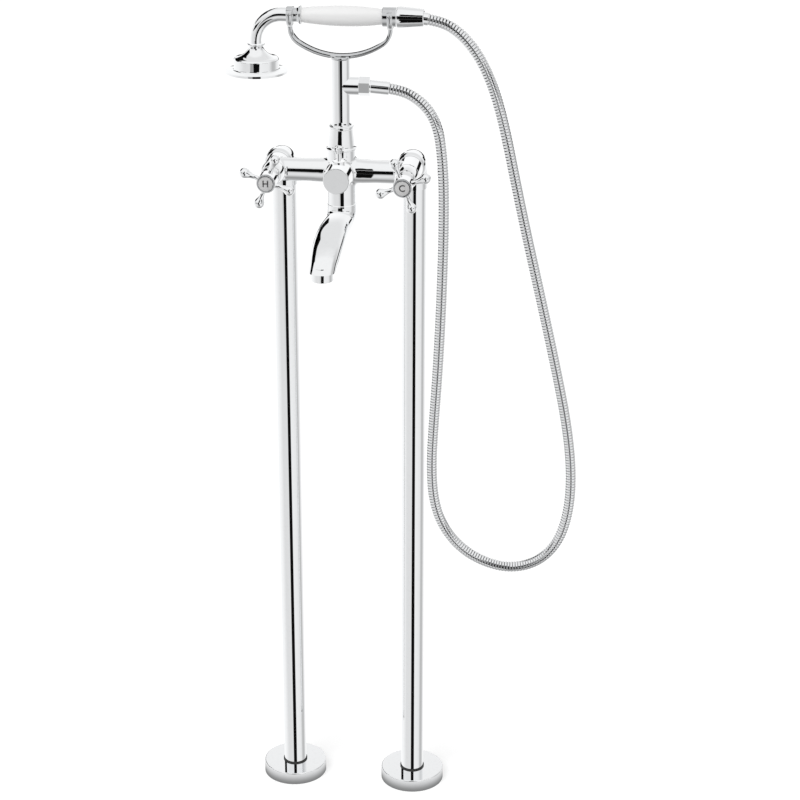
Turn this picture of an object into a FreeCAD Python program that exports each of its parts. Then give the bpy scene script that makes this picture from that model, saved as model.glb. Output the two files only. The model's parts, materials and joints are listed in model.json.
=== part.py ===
import FreeCAD, Part
import math
import os
from types import SimpleNamespace

import Sketcher
from FreeCAD import Placement, Rotation, Vector

# Floor standing bath filler: two standpipes rise from the floor to a mixer
# with a cross handle for hot and one for cold. A spout swings below the mixer.
# A riser above it carries a cradle with the hand shower, fed by a ribbed hose.
#
# Millimetres. The origin is on the floor, midway between the standpipes.
# +Z is up, -Y is the front (the side of the spout), +X is the user's right.

os.makedirs("parts", exist_ok=True)
doc = FreeCAD.newDocument("bath_filler")

# ---------------------------------------------------------------------------
# Driving sizes
# ---------------------------------------------------------------------------

SIZES = {
    # clearances
    "seam": 0.3,                    # gap between pieces that move on each other
    "fit": 0.05,                    # radial gap of pieces that are pushed together
    # standpipes and their feet
    "pipe_spacing": 154,
    "pipe_outer": 28.5,
    "pipe_wall": 2.5,
    "flange_outer": 80,
    "flange_height": 16,
    "flange_wall": 2.5,
    "plate_thickness": 12,
    "spigot_height": 28,            # of the anchor plate, up inside the pipe
    "inlet_bore": 19,
    "inlet_depth": 14,
    "waterway": 12,
    "bolt_hole": 6.5,
    "bolt_spacing": 54,             # front to back, one plate's two holes
    "seal_height": 4,
    "seal_wall": 1.1,
    # elbows and union nuts
    "mixer_height": 831.5,          # of the arms' axis above the floor
    "mixer_depth": 60,              # of the arms' axis in front of the standpipes
    "elbow_outer": 31,
    "elbow_bend": 18,
    "elbow_stop": 2,                # below the bend, where the standpipe ends
    "socket_depth": 14,
    "elbow_tail": 24,
    "elbow_bore": 20,
    "elbow_reach": 24,              # from the pipe's axis to where the tail starts
    "tail_flange": 28,
    "tail_flange_thickness": 3,
    "washer_thickness": 1.5,
    "washer_bore": 20,
    "nut_outer": 35,
    "nut_back": 2,                  # in front of where the elbow's tail starts
    "nut_lip": 3.2,
    "nut_nose": 30.2,
    "nut_gap": 0.75,                # between the nut's nose and the body's fillet
    # mixer body
    "arm_outer": 26.5,
    "arm_root": 30,                 # at the column, where the arm is thickest
    "arm_taper": 40,
    "arm_bore": 19,
    "housing_outer": 28,
    "inlet_length": 26,             # behind the arms' axis
    "housing_length": 14,           # in front of the arms' axis
    "housing_bore": 22,
    "cartridge_seat": 5,            # behind the arms' axis
    "column_outer": 32,
    "column_bore": 25,
    "column_top": 25.5,             # above the arms' axis
    "column_bottom": 38,            # below the arms' axis
    "boss_outer": 30,
    "boss_length": 43,
    "boss_bore": 22,
    "body_fillet": 5,
    "cap_thickness": 3,
    "cap_plug": 8,
    # valves and cross handles
    "bonnet_length": 16,
    "bonnet_nose": 23,
    "bonnet_wall": 2.5,
    "bonnet_flare": 60,             # radius of its hollow flank
    "cartridge_neck": 16,
    "spindle_outer": 12,
    "spindle_grip": 18,             # how far the spindle enters the handle
    "disc_thickness": 2,
    "skirt_outer": 21,
    "waist_outer": 16,
    "hub_outer": 22,
    "hub_length": 34,
    "arm_plane": 25.5,              # of the handle's arms in front of its skirt
    "handle_ball": 12,
    "handle_ball_reach": 27,
    "handle_neck": 5,
    "handle_neck_reach": 14.5,
    "handle_turn": 20.5,            # degrees, how far each cross rests off square
    "bezel_outer": 19.5,
    "index_outer": 16.5,
    "index_height": 2,
    "screw_shank": 5,
    "screw_hole": 10,               # how deep the spindle is tapped
    "screw_head": 9,
    "screw_head_height": 3.5,
    "screw_web": 5,                 # of the handle, that the screw's head clamps
    # spout
    "spout_barrel": 33.4,
    "spout_barrel_length": 24,
    "spout_barrel_round": 8,
    "spout_spigot": 24,
    "spout_spigot_length": 14,
    "spout_reach": 108,
    "spout_rest": 4,                # degrees towards the left
    "spout_wall": 3,
    "lip_drop": 86.5,               # of the mouth below the arms' axis
    "aerator_outer": 25,
    "aerator_drop": 10,
    # diverter
    "diverter_forward": 23,         # of the knob's axis in front of the column's
    "gland_outer": 15,
    "gland_height": 5,
    "stem_outer": 5,
    "knob_outer": 12,
    "knob_height": 9,
    "knob_rise": 26.5,              # of its seat above the arms' axis
    "diverter_travel": 8,
    "piston_outer": 13,
    # riser
    "sleeve_outer": 34.8,
    "sleeve_height": 24,
    "ring_outer": 28,
    "ring_height": 9,
    "riser_outer": 21,
    "riser_wall": 2,
    "riser_length": 104,            # above the column's top
    "riser_foot": 10,               # of the tube inside the column
    "outlet_rise": 73.5,            # of its axis above the column's top
    "outlet_outer": 20.4,
    "outlet_thread": 16,
    "outlet_bore": 10,
    "outlet_reach": 21,
    "hose_nut_flats": 19,
    "hose_nut_length": 12,
    "ferrule_outer": 15,
    "ferrule_collar": 14.6,
    "ferrule_droop": 4,             # degrees
    # cradle
    "cradle_sweep": 85,             # radius of the strap's long lower arc
    "cradle_corner": 20,            # radius of its end arcs
    "cradle_half": 56.5,            # from the riser's axis to each yoke
    "strap_width": 10,
    "strap_thickness": 4.5,
    "yoke_width": 5.5,
    "yoke_wall": 3,
    "yoke_play": 0.4,               # around the handset's collars
    "yoke_prong": 7,                # above the handset's axis
    # handset
    "handset_rise": 48.5,           # of its axis above the riser's top
    "grip_start": 44,               # left of the riser's axis
    "grip_length": 91.6,
    "grip_peak": 49.6,              # where the grip is thickest, from its left end
    "grip_left": 16,
    "grip_middle": 22.8,
    "grip_right": 17,
    "liner_outer": 10,
    "liner_wall": 1.2,
    "front_ferrule_outer": 19,
    "front_ferrule_length": 16,
    "rear_ferrule_outer": 21.8,
    "rear_ferrule_length": 15.4,
    "neck_bend": 30,
    "neck_outer": 16,
    "neck_tip": 13,
    "neck_wall": 2,
    "collar_outer": 20,
    "head_drop": 35.5,              # of the bell's top below the handset's axis
    "bell_shoulder": 51.4,
    "bell_rim": 70.8,
    "bell_depth": 30.5,
    "bell_wall": 1.6,
    "rim_thickness": 2.5,
    "spray_thickness": 2.5,
    "spray_hole": 2.4,
    "grip_nut_outer": 23.8,
    "grip_nut_nose": 19.6,
    "grip_nut_length": 30,
    "end_ring_outer": 14.4,
    "end_ring_reach": 15.1,
    "end_ring_droop": 6,            # degrees
    # hose
    "hose_outer": 12.5,
    "hose_bore": 8,
    "hose_groove": 0.9,
    "hose_ribs": 80,
}


class Size:
    """A size and the sheet formula that gives it."""

    def __init__(self, value, formula):
        self.value = float(value)
        self.formula = formula

    def __add__(self, other):
        return combine(self, "+", other)

    def __radd__(self, other):
        return combine(other, "+", self)

    def __sub__(self, other):
        return combine(self, "-", other)

    def __rsub__(self, other):
        return combine(other, "-", self)

    def __mul__(self, other):
        return combine(self, "*", other)

    def __rmul__(self, other):
        return combine(other, "*", self)

    def __truediv__(self, other):
        return combine(self, "/", other)

    def __neg__(self):
        return combine(0, "-", self)

    def __float__(self):
        return self.value


RULES = {
    "+": lambda left, right: left + right,
    "-": lambda left, right: left - right,
    "*": lambda left, right: left * right,
    "/": lambda left, right: left / right,
}


def as_size(number):
    """A plain number as a Size."""
    return number if isinstance(number, Size) else Size(number, f"({float(number):.6f})")


def combine(left, sign, right):
    """The Size of a sum, difference, product or quotient."""
    left = as_size(left)
    right = as_size(right)
    value = RULES[sign](left.value, right.value)
    return Size(value, f"({left.formula} {sign} {right.formula})")


def write_sheet():
    """Put the driving sizes into the spreadsheet and return them as Sizes."""
    sheet = doc.addObject("Spreadsheet::Sheet", "Sizes")
    for row, (alias, value) in enumerate(SIZES.items(), start=1):
        sheet.set(f"A{row}", alias.replace("_", " "))
        sheet.set(f"B{row}", str(value))
        sheet.setAlias(f"B{row}", alias)
    doc.recompute()
    return SimpleNamespace(**{alias: Size(value, f"Sizes.{alias}") for alias, value in SIZES.items()})


s = write_sheet()

# ---------------------------------------------------------------------------
# Ways of making a piece
# ---------------------------------------------------------------------------

UP = Rotation()
FRONT = Rotation(Vector(1, 0, 0), 90)       # the piece's own axis points to -Y
RIGHT = Rotation(Vector(0, 1, 0), 90)       # the piece's own axis points to +X
LEFT = Rotation(Vector(0, 1, 0), -90)       # the piece's own axis points to -X

pieces = []


def bind(target, path, size):
    """Set a property to a size, by formula where it has one."""
    size = as_size(size)
    target.setExpression(path, size.formula)


def place(target, spot, turn):
    """Put an object at a spot given by Sizes, turned as asked."""
    x, y, z = (as_size(value) for value in spot)
    target.Placement = Placement(Vector(x.value, y.value, z.value), turn)
    bind(target, "Placement.Base.x", x)
    bind(target, "Placement.Base.y", y)
    bind(target, "Placement.Base.z", z)


def keep(target, label):
    """Name a finished piece and list it for export."""
    target.Label = label
    pieces.append(target)
    return target


def origin_plane(body, role):
    """One of the body's own origin planes."""
    return next(item for item in body.Origin.OriginFeatures if item.Role == role)


def new_sketch(body, name, role):
    """A sketch on one of the body's own origin planes."""
    sketch = body.newObject("Sketcher::SketchObject", name)
    sketch.AttachmentSupport = (origin_plane(body, role), "")
    sketch.MapMode = "FlatFace"
    return sketch


def pin(sketch, curve, end, spot):
    """Fix one end of a sketch curve at a spot given by Sizes."""
    x, y = (as_size(value) for value in spot)
    for kind, axis, size in (("DistanceX", -2, x), ("DistanceY", -1, y)):
        if size.value == 0:
            sketch.addConstraint(Sketcher.Constraint("PointOnObject", curve, end, axis))
        else:
            index = sketch.addConstraint(Sketcher.Constraint(kind, -1, 1, curve, end, size.value))
            bind(sketch, f"Constraints[{index}]", size)


def arc_between(start, end, radius):
    """An arc of less than half a turn; a positive radius turns left on the way."""
    middle = (start + end) / 2
    chord = end - start
    rise = math.sqrt(radius * radius - chord.Length ** 2 / 4)
    left = Vector(-chord.y, chord.x, 0).normalize()
    centre = middle + left * math.copysign(rise, radius)
    first, last = (start, end) if radius > 0 else (end, start)
    angles = [math.atan2(point.y - centre.y, point.x - centre.x) for point in (first, last)]
    circle = Part.Circle(centre, Vector(0, 0, 1), abs(radius))
    return Part.ArcOfCircle(circle, *angles)


def draw_outline(sketch, outline):
    """Draw a closed outline of corners; a third value makes the side to it an arc."""
    corners = [tuple(as_size(value) for value in corner) for corner in outline]
    spots = [Vector(corner[0].value, corner[1].value, 0) for corner in corners]
    ends = []
    for index, corner in enumerate(corners):
        start = spots[index - 1]
        end = spots[index]
        if len(corner) == 3:
            curve = sketch.addGeometry(arc_between(start, end, corner[2].value))
            ends.append((curve, 1, 2) if corner[2].value > 0 else (curve, 2, 1))
        else:
            curve = sketch.addGeometry(Part.LineSegment(start, end))
            ends.append((curve, 1, 2))
    for index, (curve, _, finish) in enumerate(ends):
        following, begin, _ = ends[(index + 1) % len(ends)]
        sketch.addConstraint(Sketcher.Constraint("Coincident", curve, finish, following, begin))
        pin(sketch, curve, finish, corners[index][:2])
    for (curve, _, _), corner in zip(ends, corners):
        if len(corner) == 3:
            radius = corner[2] if corner[2].value > 0 else -corner[2]
            index = sketch.addConstraint(Sketcher.Constraint("Radius", curve, radius.value))
            bind(sketch, f"Constraints[{index}]", radius)


def turned(label, spot, turn, *outlines):
    """A turned piece: outlines of (radius, height) revolved about its own axis."""
    body = doc.addObject("PartDesign::Body", label)
    for number, outline in enumerate(outlines):
        sketch = new_sketch(body, f"{label}_profile_{number}", "XZ_Plane")
        draw_outline(sketch, outline)
        solid = body.newObject("PartDesign::Revolution", f"{label}_turned_{number}")
        solid.Profile = sketch
        solid.ReferenceAxis = (sketch, ["V_Axis"])
        solid.Angle = 360
        sketch.Visibility = False
    body.Tip = solid
    place(body, spot, turn)
    return keep(body, label)


def drill(body, circles):
    """Drill through a body along its own axis; circles are (x, y, radius)."""
    doc.recompute()
    before = body.Shape.Volume
    sketch = new_sketch(body, f"{body.Name}_holes", "XY_Plane")
    for x, y, radius in circles:
        centre = Vector(as_size(x).value, as_size(y).value, 0)
        curve = sketch.addGeometry(Part.Circle(centre, Vector(0, 0, 1), as_size(radius).value))
        pin(sketch, curve, 3, (x, y))
        index = sketch.addConstraint(Sketcher.Constraint("Radius", curve, as_size(radius).value))
        bind(sketch, f"Constraints[{index}]", radius)
    pocket = body.newObject("PartDesign::Pocket", f"{body.Name}_drilled")
    pocket.Profile = sketch
    pocket.Type = "ThroughAll"
    pocket.Reversed = True
    body.Tip = pocket
    doc.recompute()
    if body.Shape.Volume > before - 1:
        raise ValueError(f"{body.Label}: the holes cut nothing")
    return body


def cylinder(name, radius, height, spot, turn=UP):
    """A plain cylinder to build with."""
    solid = doc.addObject("Part::Cylinder", name)
    bind(solid, "Radius", radius)
    bind(solid, "Height", height)
    place(solid, spot, turn)
    return solid


def cone(name, foot, top, height, spot, turn):
    """A truncated cone to build with."""
    solid = doc.addObject("Part::Cone", name)
    bind(solid, "Radius1", foot)
    bind(solid, "Radius2", top)
    bind(solid, "Height", height)
    place(solid, spot, turn)
    return solid


def quarter_ring(name, bend, radius, spot, turn):
    """A quarter of a torus, from the piece's own X axis to its own Y axis."""
    solid = doc.addObject("Part::Torus", name)
    bind(solid, "Radius1", bend)
    bind(solid, "Radius2", radius)
    solid.Angle3 = 90
    place(solid, spot, turn)
    return solid


def joined(name, solids):
    """Several solids as one."""
    union = doc.addObject("Part::MultiFuse", name)
    union.Shapes = solids
    union.Refine = True
    return union


def hollowed(name, solid, tool):
    """A solid less a tool."""
    cut = doc.addObject("Part::Cut", name)
    cut.Base = solid
    cut.Tool = tool
    return cut


def shaped(label, shape, spot=(0, 0, 0), turn=UP):
    """A piece whose shape is worked out by Part's own functions."""
    feature = doc.addObject("Part::Feature", label)
    feature.Shape = shape
    place(feature, spot, turn)
    return keep(feature, label)


def dome(outer, rise):
    """The radius of a dome of a given rise over a disc."""
    return (outer * outer + rise * rise) / (2 * rise)


SIDES = (("left", -1), ("right", 1))
VALVES = (("hot", -1), ("cold", 1))

pipe_radius = s.pipe_outer / 2
pipe_bore = pipe_radius - s.pipe_wall
pipe_top = s.mixer_height - s.elbow_bend - s.elbow_stop
socket_mouth = pipe_top - s.socket_depth
front_axis = -s.mixer_depth


def pipe_x(side):
    """How far right of the middle a standpipe's axis stands."""
    return side * s.pipe_spacing / 2


# ---------------------------------------------------------------------------
# Feet and standpipes
# ---------------------------------------------------------------------------

def anchor_plate(name, side):
    """Screwed to the floor: carries the pipe and brings the supply into it."""
    outer = s.flange_outer / 2 - s.flange_wall - 2 * s.seam
    spigot = pipe_bore - s.fit
    top = s.plate_thickness + s.spigot_height
    body = turned(
        f"{name}_anchor_plate", (pipe_x(side), 0, 0), UP,
        [
            (s.inlet_bore / 2, 0),
            (outer, 0),
            (outer, s.plate_thickness),
            (spigot, s.plate_thickness),
            (spigot, top),
            (s.waterway / 2, top),
            (s.waterway / 2, s.inlet_depth),
            (s.inlet_bore / 2, s.inlet_depth),
        ],
    )
    radius = s.bolt_hole / 2
    half = s.bolt_spacing / 2
    return drill(body, [(0, half, radius), (0, -half, radius)])


def floor_flange(name, side):
    """The cover that hides the plate: a cup turned over, bored for the pipe."""
    outer = s.flange_outer / 2
    hole = pipe_radius + s.seam
    edge = 1.2
    under = s.flange_height - s.flange_wall
    return turned(
        f"{name}_floor_flange", (pipe_x(side), 0, 0), UP,
        [
            (outer - s.flange_wall, 0),
            (outer, 0),
            (outer, s.flange_height - edge),
            (outer - edge, s.flange_height, edge),
            (hole, s.flange_height),
            (hole, under),
            (outer - s.flange_wall, under),
        ],
    )


def pipe_seal(name, side):
    """The rubber ring that closes the gap between the pipe and its cover."""
    inner = pipe_radius + s.fit
    outer = pipe_radius + s.seal_wall
    lip = s.seal_height / 2
    return turned(
        f"{name}_pipe_seal", (pipe_x(side), 0, s.flange_height), UP,
        [(inner, 0), (outer, 0), (outer, lip), (inner + 0.3, s.seal_height, 3), (inner, s.seal_height)],
    )


def standpipe(name, side):
    """The tube from the anchor plate to the elbow."""
    height = pipe_top - s.plate_thickness
    return turned(
        f"{name}_standpipe", (pipe_x(side), 0, s.plate_thickness), UP,
        [(pipe_bore, 0), (pipe_radius, 0), (pipe_radius, height), (pipe_bore, height)],
    )


ALONG_X = Rotation(Vector(1, 1, 1), 120)    # own X, Y, Z become +Y, +Z, +X
inlet_face = s.mixer_depth - s.inlet_length
tail_end = inlet_face - s.washer_thickness
nut_start = s.elbow_reach + s.nut_back
nut_end = s.mixer_depth - s.arm_outer / 2 - s.body_fillet - s.nut_gap


def elbow(name, side):
    """Turns the water from the pipe to the mixer; its tail takes the union nut."""
    x = pipe_x(side)
    label = f"{name}_elbow"
    outer = s.elbow_outer / 2
    bore = s.elbow_bore / 2
    bend = (x, -s.elbow_bend, s.mixer_height - s.elbow_bend)
    back = (x, -s.elbow_bend, s.mixer_height)
    start = (x, -s.elbow_reach, s.mixer_height)
    rise = s.mixer_height - s.elbow_bend - socket_mouth
    tail = tail_end - s.elbow_reach
    flange_back = -(tail_end - s.tail_flange_thickness)
    solid = joined(f"{label}_outside", [
        cylinder(f"{label}_socket", outer, rise, (x, 0, socket_mouth)),
        quarter_ring(f"{label}_bend", s.elbow_bend, outer, bend, ALONG_X),
        cylinder(f"{label}_leg", outer, s.elbow_reach - s.elbow_bend, back, FRONT),
        cylinder(f"{label}_tail", s.elbow_tail / 2, tail, start, FRONT),
        cylinder(f"{label}_tail_flange", s.tail_flange / 2, s.tail_flange_thickness,
                 (x, flange_back, s.mixer_height), FRONT),
    ])
    inside = joined(f"{label}_inside", [
        cylinder(f"{label}_pipe_bore", pipe_radius + s.fit, s.socket_depth, (x, 0, socket_mouth)),
        cylinder(f"{label}_rise", bore, rise, (x, 0, socket_mouth)),
        quarter_ring(f"{label}_bend_bore", s.elbow_bend, bore, bend, ALONG_X),
        cylinder(f"{label}_bore", bore, tail_end - s.elbow_bend, back, FRONT),
    ])
    return keep(hollowed(label, solid, inside), label)


def union_nut(name, side):
    """The round nut that pulls the mixer's inlet against the elbow's tail."""
    length = nut_end - nut_start
    lip_bore = s.elbow_tail / 2 + s.seam
    thread = s.housing_outer / 2 + 0.2
    outer = s.nut_outer / 2
    nose = s.nut_nose / 2
    shoulder = length * 0.6
    edge = 1.5
    return turned(
        f"{name}_union_nut", (pipe_x(side), -nut_start, s.mixer_height), FRONT,
        [
            (lip_bore, 0),
            (outer - edge, 0),
            (outer, edge, edge),
            (outer, shoulder),
            (nose, length, 14),
            (thread, length),
            (thread, s.nut_lip),
            (lip_bore, s.nut_lip),
        ],
    )


def union_washers():
    """One fibre washer between each elbow and the mixer."""
    rings = []
    for name, side in SIDES:
        spot = (pipe_x(side), -tail_end, s.mixer_height)
        disc = cylinder(f"{name}_washer_disc", s.tail_flange / 2 - 0.2, s.washer_thickness, spot, FRONT)
        hole = cylinder(f"{name}_washer_hole", s.washer_bore / 2, s.washer_thickness, spot, FRONT)
        rings.append(hollowed(f"{name}_washer", disc, hole))
    group = doc.addObject("Part::Compound", "union_washers")
    group.Links = rings
    return keep(group, "union_washers")


for name, side in SIDES:
    anchor_plate(name, side)
    floor_flange(name, side)
    pipe_seal(name, side)
    standpipe(name, side)
    elbow(name, side)
    union_nut(name, side)
union_washers()

# ---------------------------------------------------------------------------
# Mixer
# ---------------------------------------------------------------------------

column_foot = s.mixer_height - s.column_bottom
column_head = s.mixer_height + s.column_top
housing_face = s.mixer_depth + s.housing_length
boss_face = s.mixer_depth + s.boss_length
gland_y = -(s.mixer_depth + s.diverter_forward)
gland_seat = s.mixer_height + s.boss_outer / 2 - 2.2
lip_height = s.mixer_height - s.lip_drop
riser_top = column_head + s.riser_length
outlet_height = column_head + s.outlet_rise
handset_axis = riser_top + s.handset_rise
head_top = handset_axis - s.head_drop


def cast_edges(shape):
    """Where the body's tubes run into each other: the edges that lie in no plane."""
    numbers = []
    for number, edge in enumerate(shape.Edges, start=1):
        box = edge.BoundBox
        if min(box.XLength, box.YLength, box.ZLength) > 0.001:
            numbers.append(number)
    return numbers


def mixer_body():
    """Arms, valve housings, column and front boss, cast in one and bored."""
    arm = s.arm_outer / 2
    solids = [
        cylinder("mixer_arms", arm, s.pipe_spacing, (pipe_x(-1), front_axis, s.mixer_height), RIGHT),
        cylinder("mixer_column", s.column_outer / 2, s.column_top + s.column_bottom,
                 (0, front_axis, column_foot)),
        cylinder("mixer_boss", s.boss_outer / 2, s.boss_length, (0, front_axis, s.mixer_height), FRONT),
    ]
    tools = [
        cylinder("mixer_arm_bore", s.arm_bore / 2, s.pipe_spacing,
                 (pipe_x(-1), front_axis, s.mixer_height), RIGHT),
        cylinder("mixer_column_bore", s.column_bore / 2, s.column_top + s.column_bottom,
                 (0, front_axis, column_foot)),
        cylinder("mixer_boss_bore", s.boss_bore / 2, s.boss_length,
                 (0, front_axis, s.mixer_height), FRONT),
        cylinder("mixer_gland_hole", s.gland_outer / 2 - 2, s.boss_outer / 2,
                 (0, gland_y, s.mixer_height)),
        cylinder("mixer_gland_seat", s.gland_outer / 2 + s.fit, s.boss_outer / 2,
                 (0, gland_y, gland_seat)),
    ]
    for (name, side), turn in zip(VALVES, (LEFT, RIGHT)):
        x = pipe_x(side)
        solids.append(cone(f"{name}_arm_root", s.arm_root / 2, arm, s.arm_taper,
                           (0, front_axis, s.mixer_height), turn))
        solids.append(cylinder(f"{name}_housing", s.housing_outer / 2, housing_face - inlet_face,
                               (x, -inlet_face, s.mixer_height), FRONT))
        tools.append(cylinder(f"{name}_inlet_bore", s.elbow_bore / 2, s.housing_length + 20,
                              (x, -inlet_face, s.mixer_height), FRONT))
        tools.append(cylinder(f"{name}_housing_bore", s.housing_bore / 2,
                              s.housing_length + s.cartridge_seat,
                              (x, front_axis + s.cartridge_seat, s.mixer_height), FRONT))
    outside = joined("mixer_outside", solids)
    doc.recompute()
    cast = doc.addObject("Part::Fillet", "mixer_cast")
    cast.Base = outside
    cast.Edges = [(number, s.body_fillet.value, s.body_fillet.value) for number in cast_edges(outside.Shape)]
    return keep(hollowed("mixer_body", cast, joined("mixer_inside", tools)), "mixer_body")


def front_cap():
    """The blank disc that closes the boss, on a plug that fits its bore."""
    plug = s.boss_bore / 2 - s.fit
    outer = s.boss_outer / 2
    edge = 0.8
    return turned(
        "front_cap", (0, -boss_face + s.cap_plug, s.mixer_height), FRONT,
        [
            (0, 0),
            (plug, 0),
            (plug, s.cap_plug),
            (outer, s.cap_plug),
            (outer, s.cap_plug + s.cap_thickness - edge),
            (outer - edge, s.cap_plug + s.cap_thickness, edge),
            (0, s.cap_plug + s.cap_thickness),
        ],
    )


mixer_body()
front_cap()

# ---------------------------------------------------------------------------
# Valves and cross handles
# ---------------------------------------------------------------------------

skirt_face = housing_face + s.bonnet_length + s.seam
spindle_radius = s.spindle_outer / 2
spindle_hole = spindle_radius + s.seam
cartridge_length = s.housing_length + s.cartridge_seat - s.seam
spindle_back = cartridge_length - 10


def bonnet(name, side):
    """The chromed cover screwed over the valve."""
    foot = s.housing_outer / 2 - 0.6
    nose = s.bonnet_nose / 2
    bore = foot - s.bonnet_wall
    roof = s.bonnet_length - 3
    return turned(
        f"{name}_bonnet", (pipe_x(side), -housing_face, s.mixer_height), FRONT,
        [
            (bore, 0),
            (foot, 0),
            (foot, 3),
            (nose, s.bonnet_length, s.bonnet_flare),
            (spindle_hole, s.bonnet_length),
            (spindle_hole, roof),
            (bore, roof),
        ],
    )


def cartridge(name, side):
    """The valve's fixed body in its housing, with the neck that guides the spindle."""
    outer = s.housing_bore / 2 - 0.2
    neck = s.cartridge_neck / 2
    back = s.mixer_depth - s.cartridge_seat
    deep = 3
    cavity = outer - 2.4
    chamber = spindle_back + s.disc_thickness + 2
    tip = cartridge_length + s.bonnet_length - 4
    return turned(
        f"{name}_cartridge", (pipe_x(side), -back, s.mixer_height), FRONT,
        [
            (2.5, 0),
            (outer, 0),
            (outer, cartridge_length),
            (neck, cartridge_length),
            (neck, tip),
            (spindle_hole, tip),
            (spindle_hole, chamber),
            (cavity, chamber),
            (cavity, deep),
            (2.5, deep),
        ],
    )


def spindle(name, side):
    """Turns with the handle and carries the moving ceramic disc."""
    back = s.mixer_depth - s.cartridge_seat + spindle_back
    reach = skirt_face - back + s.spindle_grip
    flange = s.housing_bore / 2 - 3.4
    hole = s.screw_shank / 2 + s.fit
    return turned(
        f"{name}_spindle", (pipe_x(side), -back, s.mixer_height), FRONT,
        [
            (0, 0),
            (flange, 0),
            (flange, s.disc_thickness),
            (spindle_radius, s.disc_thickness),
            (spindle_radius, reach),
            (hole, reach),
            (hole, reach - s.screw_hole),
            (0, reach - s.screw_hole),
        ],
    )


def ceramic_disc(name, side):
    """The moving half of the valve, on the spindle's back."""
    back = s.mixer_depth - s.cartridge_seat + spindle_back
    radius = s.housing_bore / 2 - 3.4
    return turned(
        f"{name}_ceramic_disc", (pipe_x(side), -(back - s.disc_thickness), s.mixer_height), FRONT,
        [(0, 0), (radius, 0), (radius, s.disc_thickness), (0, s.disc_thickness)],
    )


def cross_handle(name, side):
    """Skirt, waist and hub turned in one, with four ball-ended arms."""
    label = f"{name}_cross_handle"
    skirt = s.skirt_outer / 2
    waist = s.waist_outer / 2
    hub = s.hub_outer / 2
    bore = spindle_radius + s.fit
    web = s.spindle_grip + s.fit
    seat = web + s.screw_web
    recess = s.hub_length - s.index_height
    edge = 0.8
    body = turned(
        label, (pipe_x(side), -skirt_face, s.mixer_height), FRONT,
        [
            (bore, 0),
            (skirt - 1, 0),
            (skirt, 1, 1),
            (skirt, 3),
            (waist, 10, -16),
            (hub, 17.5, -12),
            (hub, s.hub_length - edge),
            (hub - edge, s.hub_length, edge),
            (s.bezel_outer / 2 + s.fit, s.hub_length),
            (s.bezel_outer / 2 + s.fit, recess),
            (s.screw_head / 2 + 0.3, recess),
            (s.screw_head / 2 + 0.3, seat),
            (s.screw_shank / 2 + 0.2, seat),
            (s.screw_shank / 2 + 0.2, web),
            (bore, web),
        ],
    )
    sketch = new_sketch(body, f"{label}_arm_profile", "XZ_Plane")
    bind(sketch, "AttachmentOffset.Base.y", s.arm_plane)
    draw_arm(sketch, hub - 3)
    arm = body.newObject("PartDesign::Revolution", f"{label}_arm")
    arm.Profile = sketch
    arm.ReferenceAxis = (sketch, ["H_Axis"])
    arm.Angle = 360
    doc.recompute()
    cross = body.newObject("PartDesign::PolarPattern", f"{label}_arms")
    cross.Originals = [arm]
    cross.Axis = (next(item for item in body.Origin.OriginFeatures if item.Role == "Z_Axis"), [""])
    cross.Angle = 360
    cross.Occurrences = 4
    body.Tip = cross
    turn = side * SIZES["handle_turn"]
    body.Placement.Rotation = FRONT * Rotation(Vector(0, 0, 1), turn)
    return body


BALL_LEAVES = math.radians(63.3)    # where the ball's surface runs into the neck's


def draw_arm(sketch, start):
    """Half of an arm's outline: a neck that swells into a ball at the tip."""
    ball = s.handle_ball / 2
    reach = s.handle_ball_reach
    neck = s.handle_neck / 2
    root = neck + 1
    corners = [
        (start, 0),
        (start, root),
        (s.handle_neck_reach, neck, 60),
        (reach - ball * math.cos(BALL_LEAVES), ball * math.sin(BALL_LEAVES), 22),
        (reach + ball, 0, -ball),
    ]
    draw_outline(sketch, corners)


def index_bezel(name, side):
    """The ring around the index disc."""
    outer = s.bezel_outer / 2
    inner = s.index_outer / 2 + s.fit
    foot = skirt_face + s.hub_length - s.index_height
    height = s.index_height + 1.4
    return turned(
        f"{name}_index_bezel", (pipe_x(side), -foot, s.mixer_height), FRONT,
        [(inner, 0), (outer, 0), (outer, height - 0.7), (outer - 0.7, height, 0.7), (inner, height)],
    )


def index_disc(name, side):
    """The white disc that marks hot or cold, slightly domed."""
    outer = s.index_outer / 2
    foot = skirt_face + s.hub_length - s.index_height
    height = s.index_height + 1
    return turned(
        f"{name}_index_disc", (pipe_x(side), -foot, s.mixer_height), FRONT,
        [(0, 0), (outer, 0), (outer, height), (0, height + 0.8, dome(outer, 0.8))],
    )


def handle_screw(name, side):
    """Clamps the handle on its spindle, under the index disc."""
    shank = s.screw_shank / 2
    head = s.screw_head / 2
    start = s.spindle_grip - s.screw_hole + 1
    length = s.spindle_grip + s.screw_web + s.fit - start
    top = length + s.screw_head_height
    return turned(
        f"{name}_handle_screw", (pipe_x(side), -(skirt_face + start), s.mixer_height), FRONT,
        [
            (0, 0),
            (shank, 0),
            (shank, length),
            (head, length),
            (head, top),
            (1.5, top),
            (1.5, top - 2),
            (0, top - 2),
        ],
    )


for name, side in VALVES:
    bonnet(name, side)
    cartridge(name, side)
    spindle(name, side)
    ceramic_disc(name, side)
    cross_handle(name, side)
    index_bezel(name, side)
    index_disc(name, side)
    handle_screw(name, side)

# ---------------------------------------------------------------------------
# Diverter
# ---------------------------------------------------------------------------

stem_radius = s.stem_outer / 2
rod_foot = s.mixer_height - 5.5
knob_seat = s.mixer_height + s.knob_rise


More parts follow.
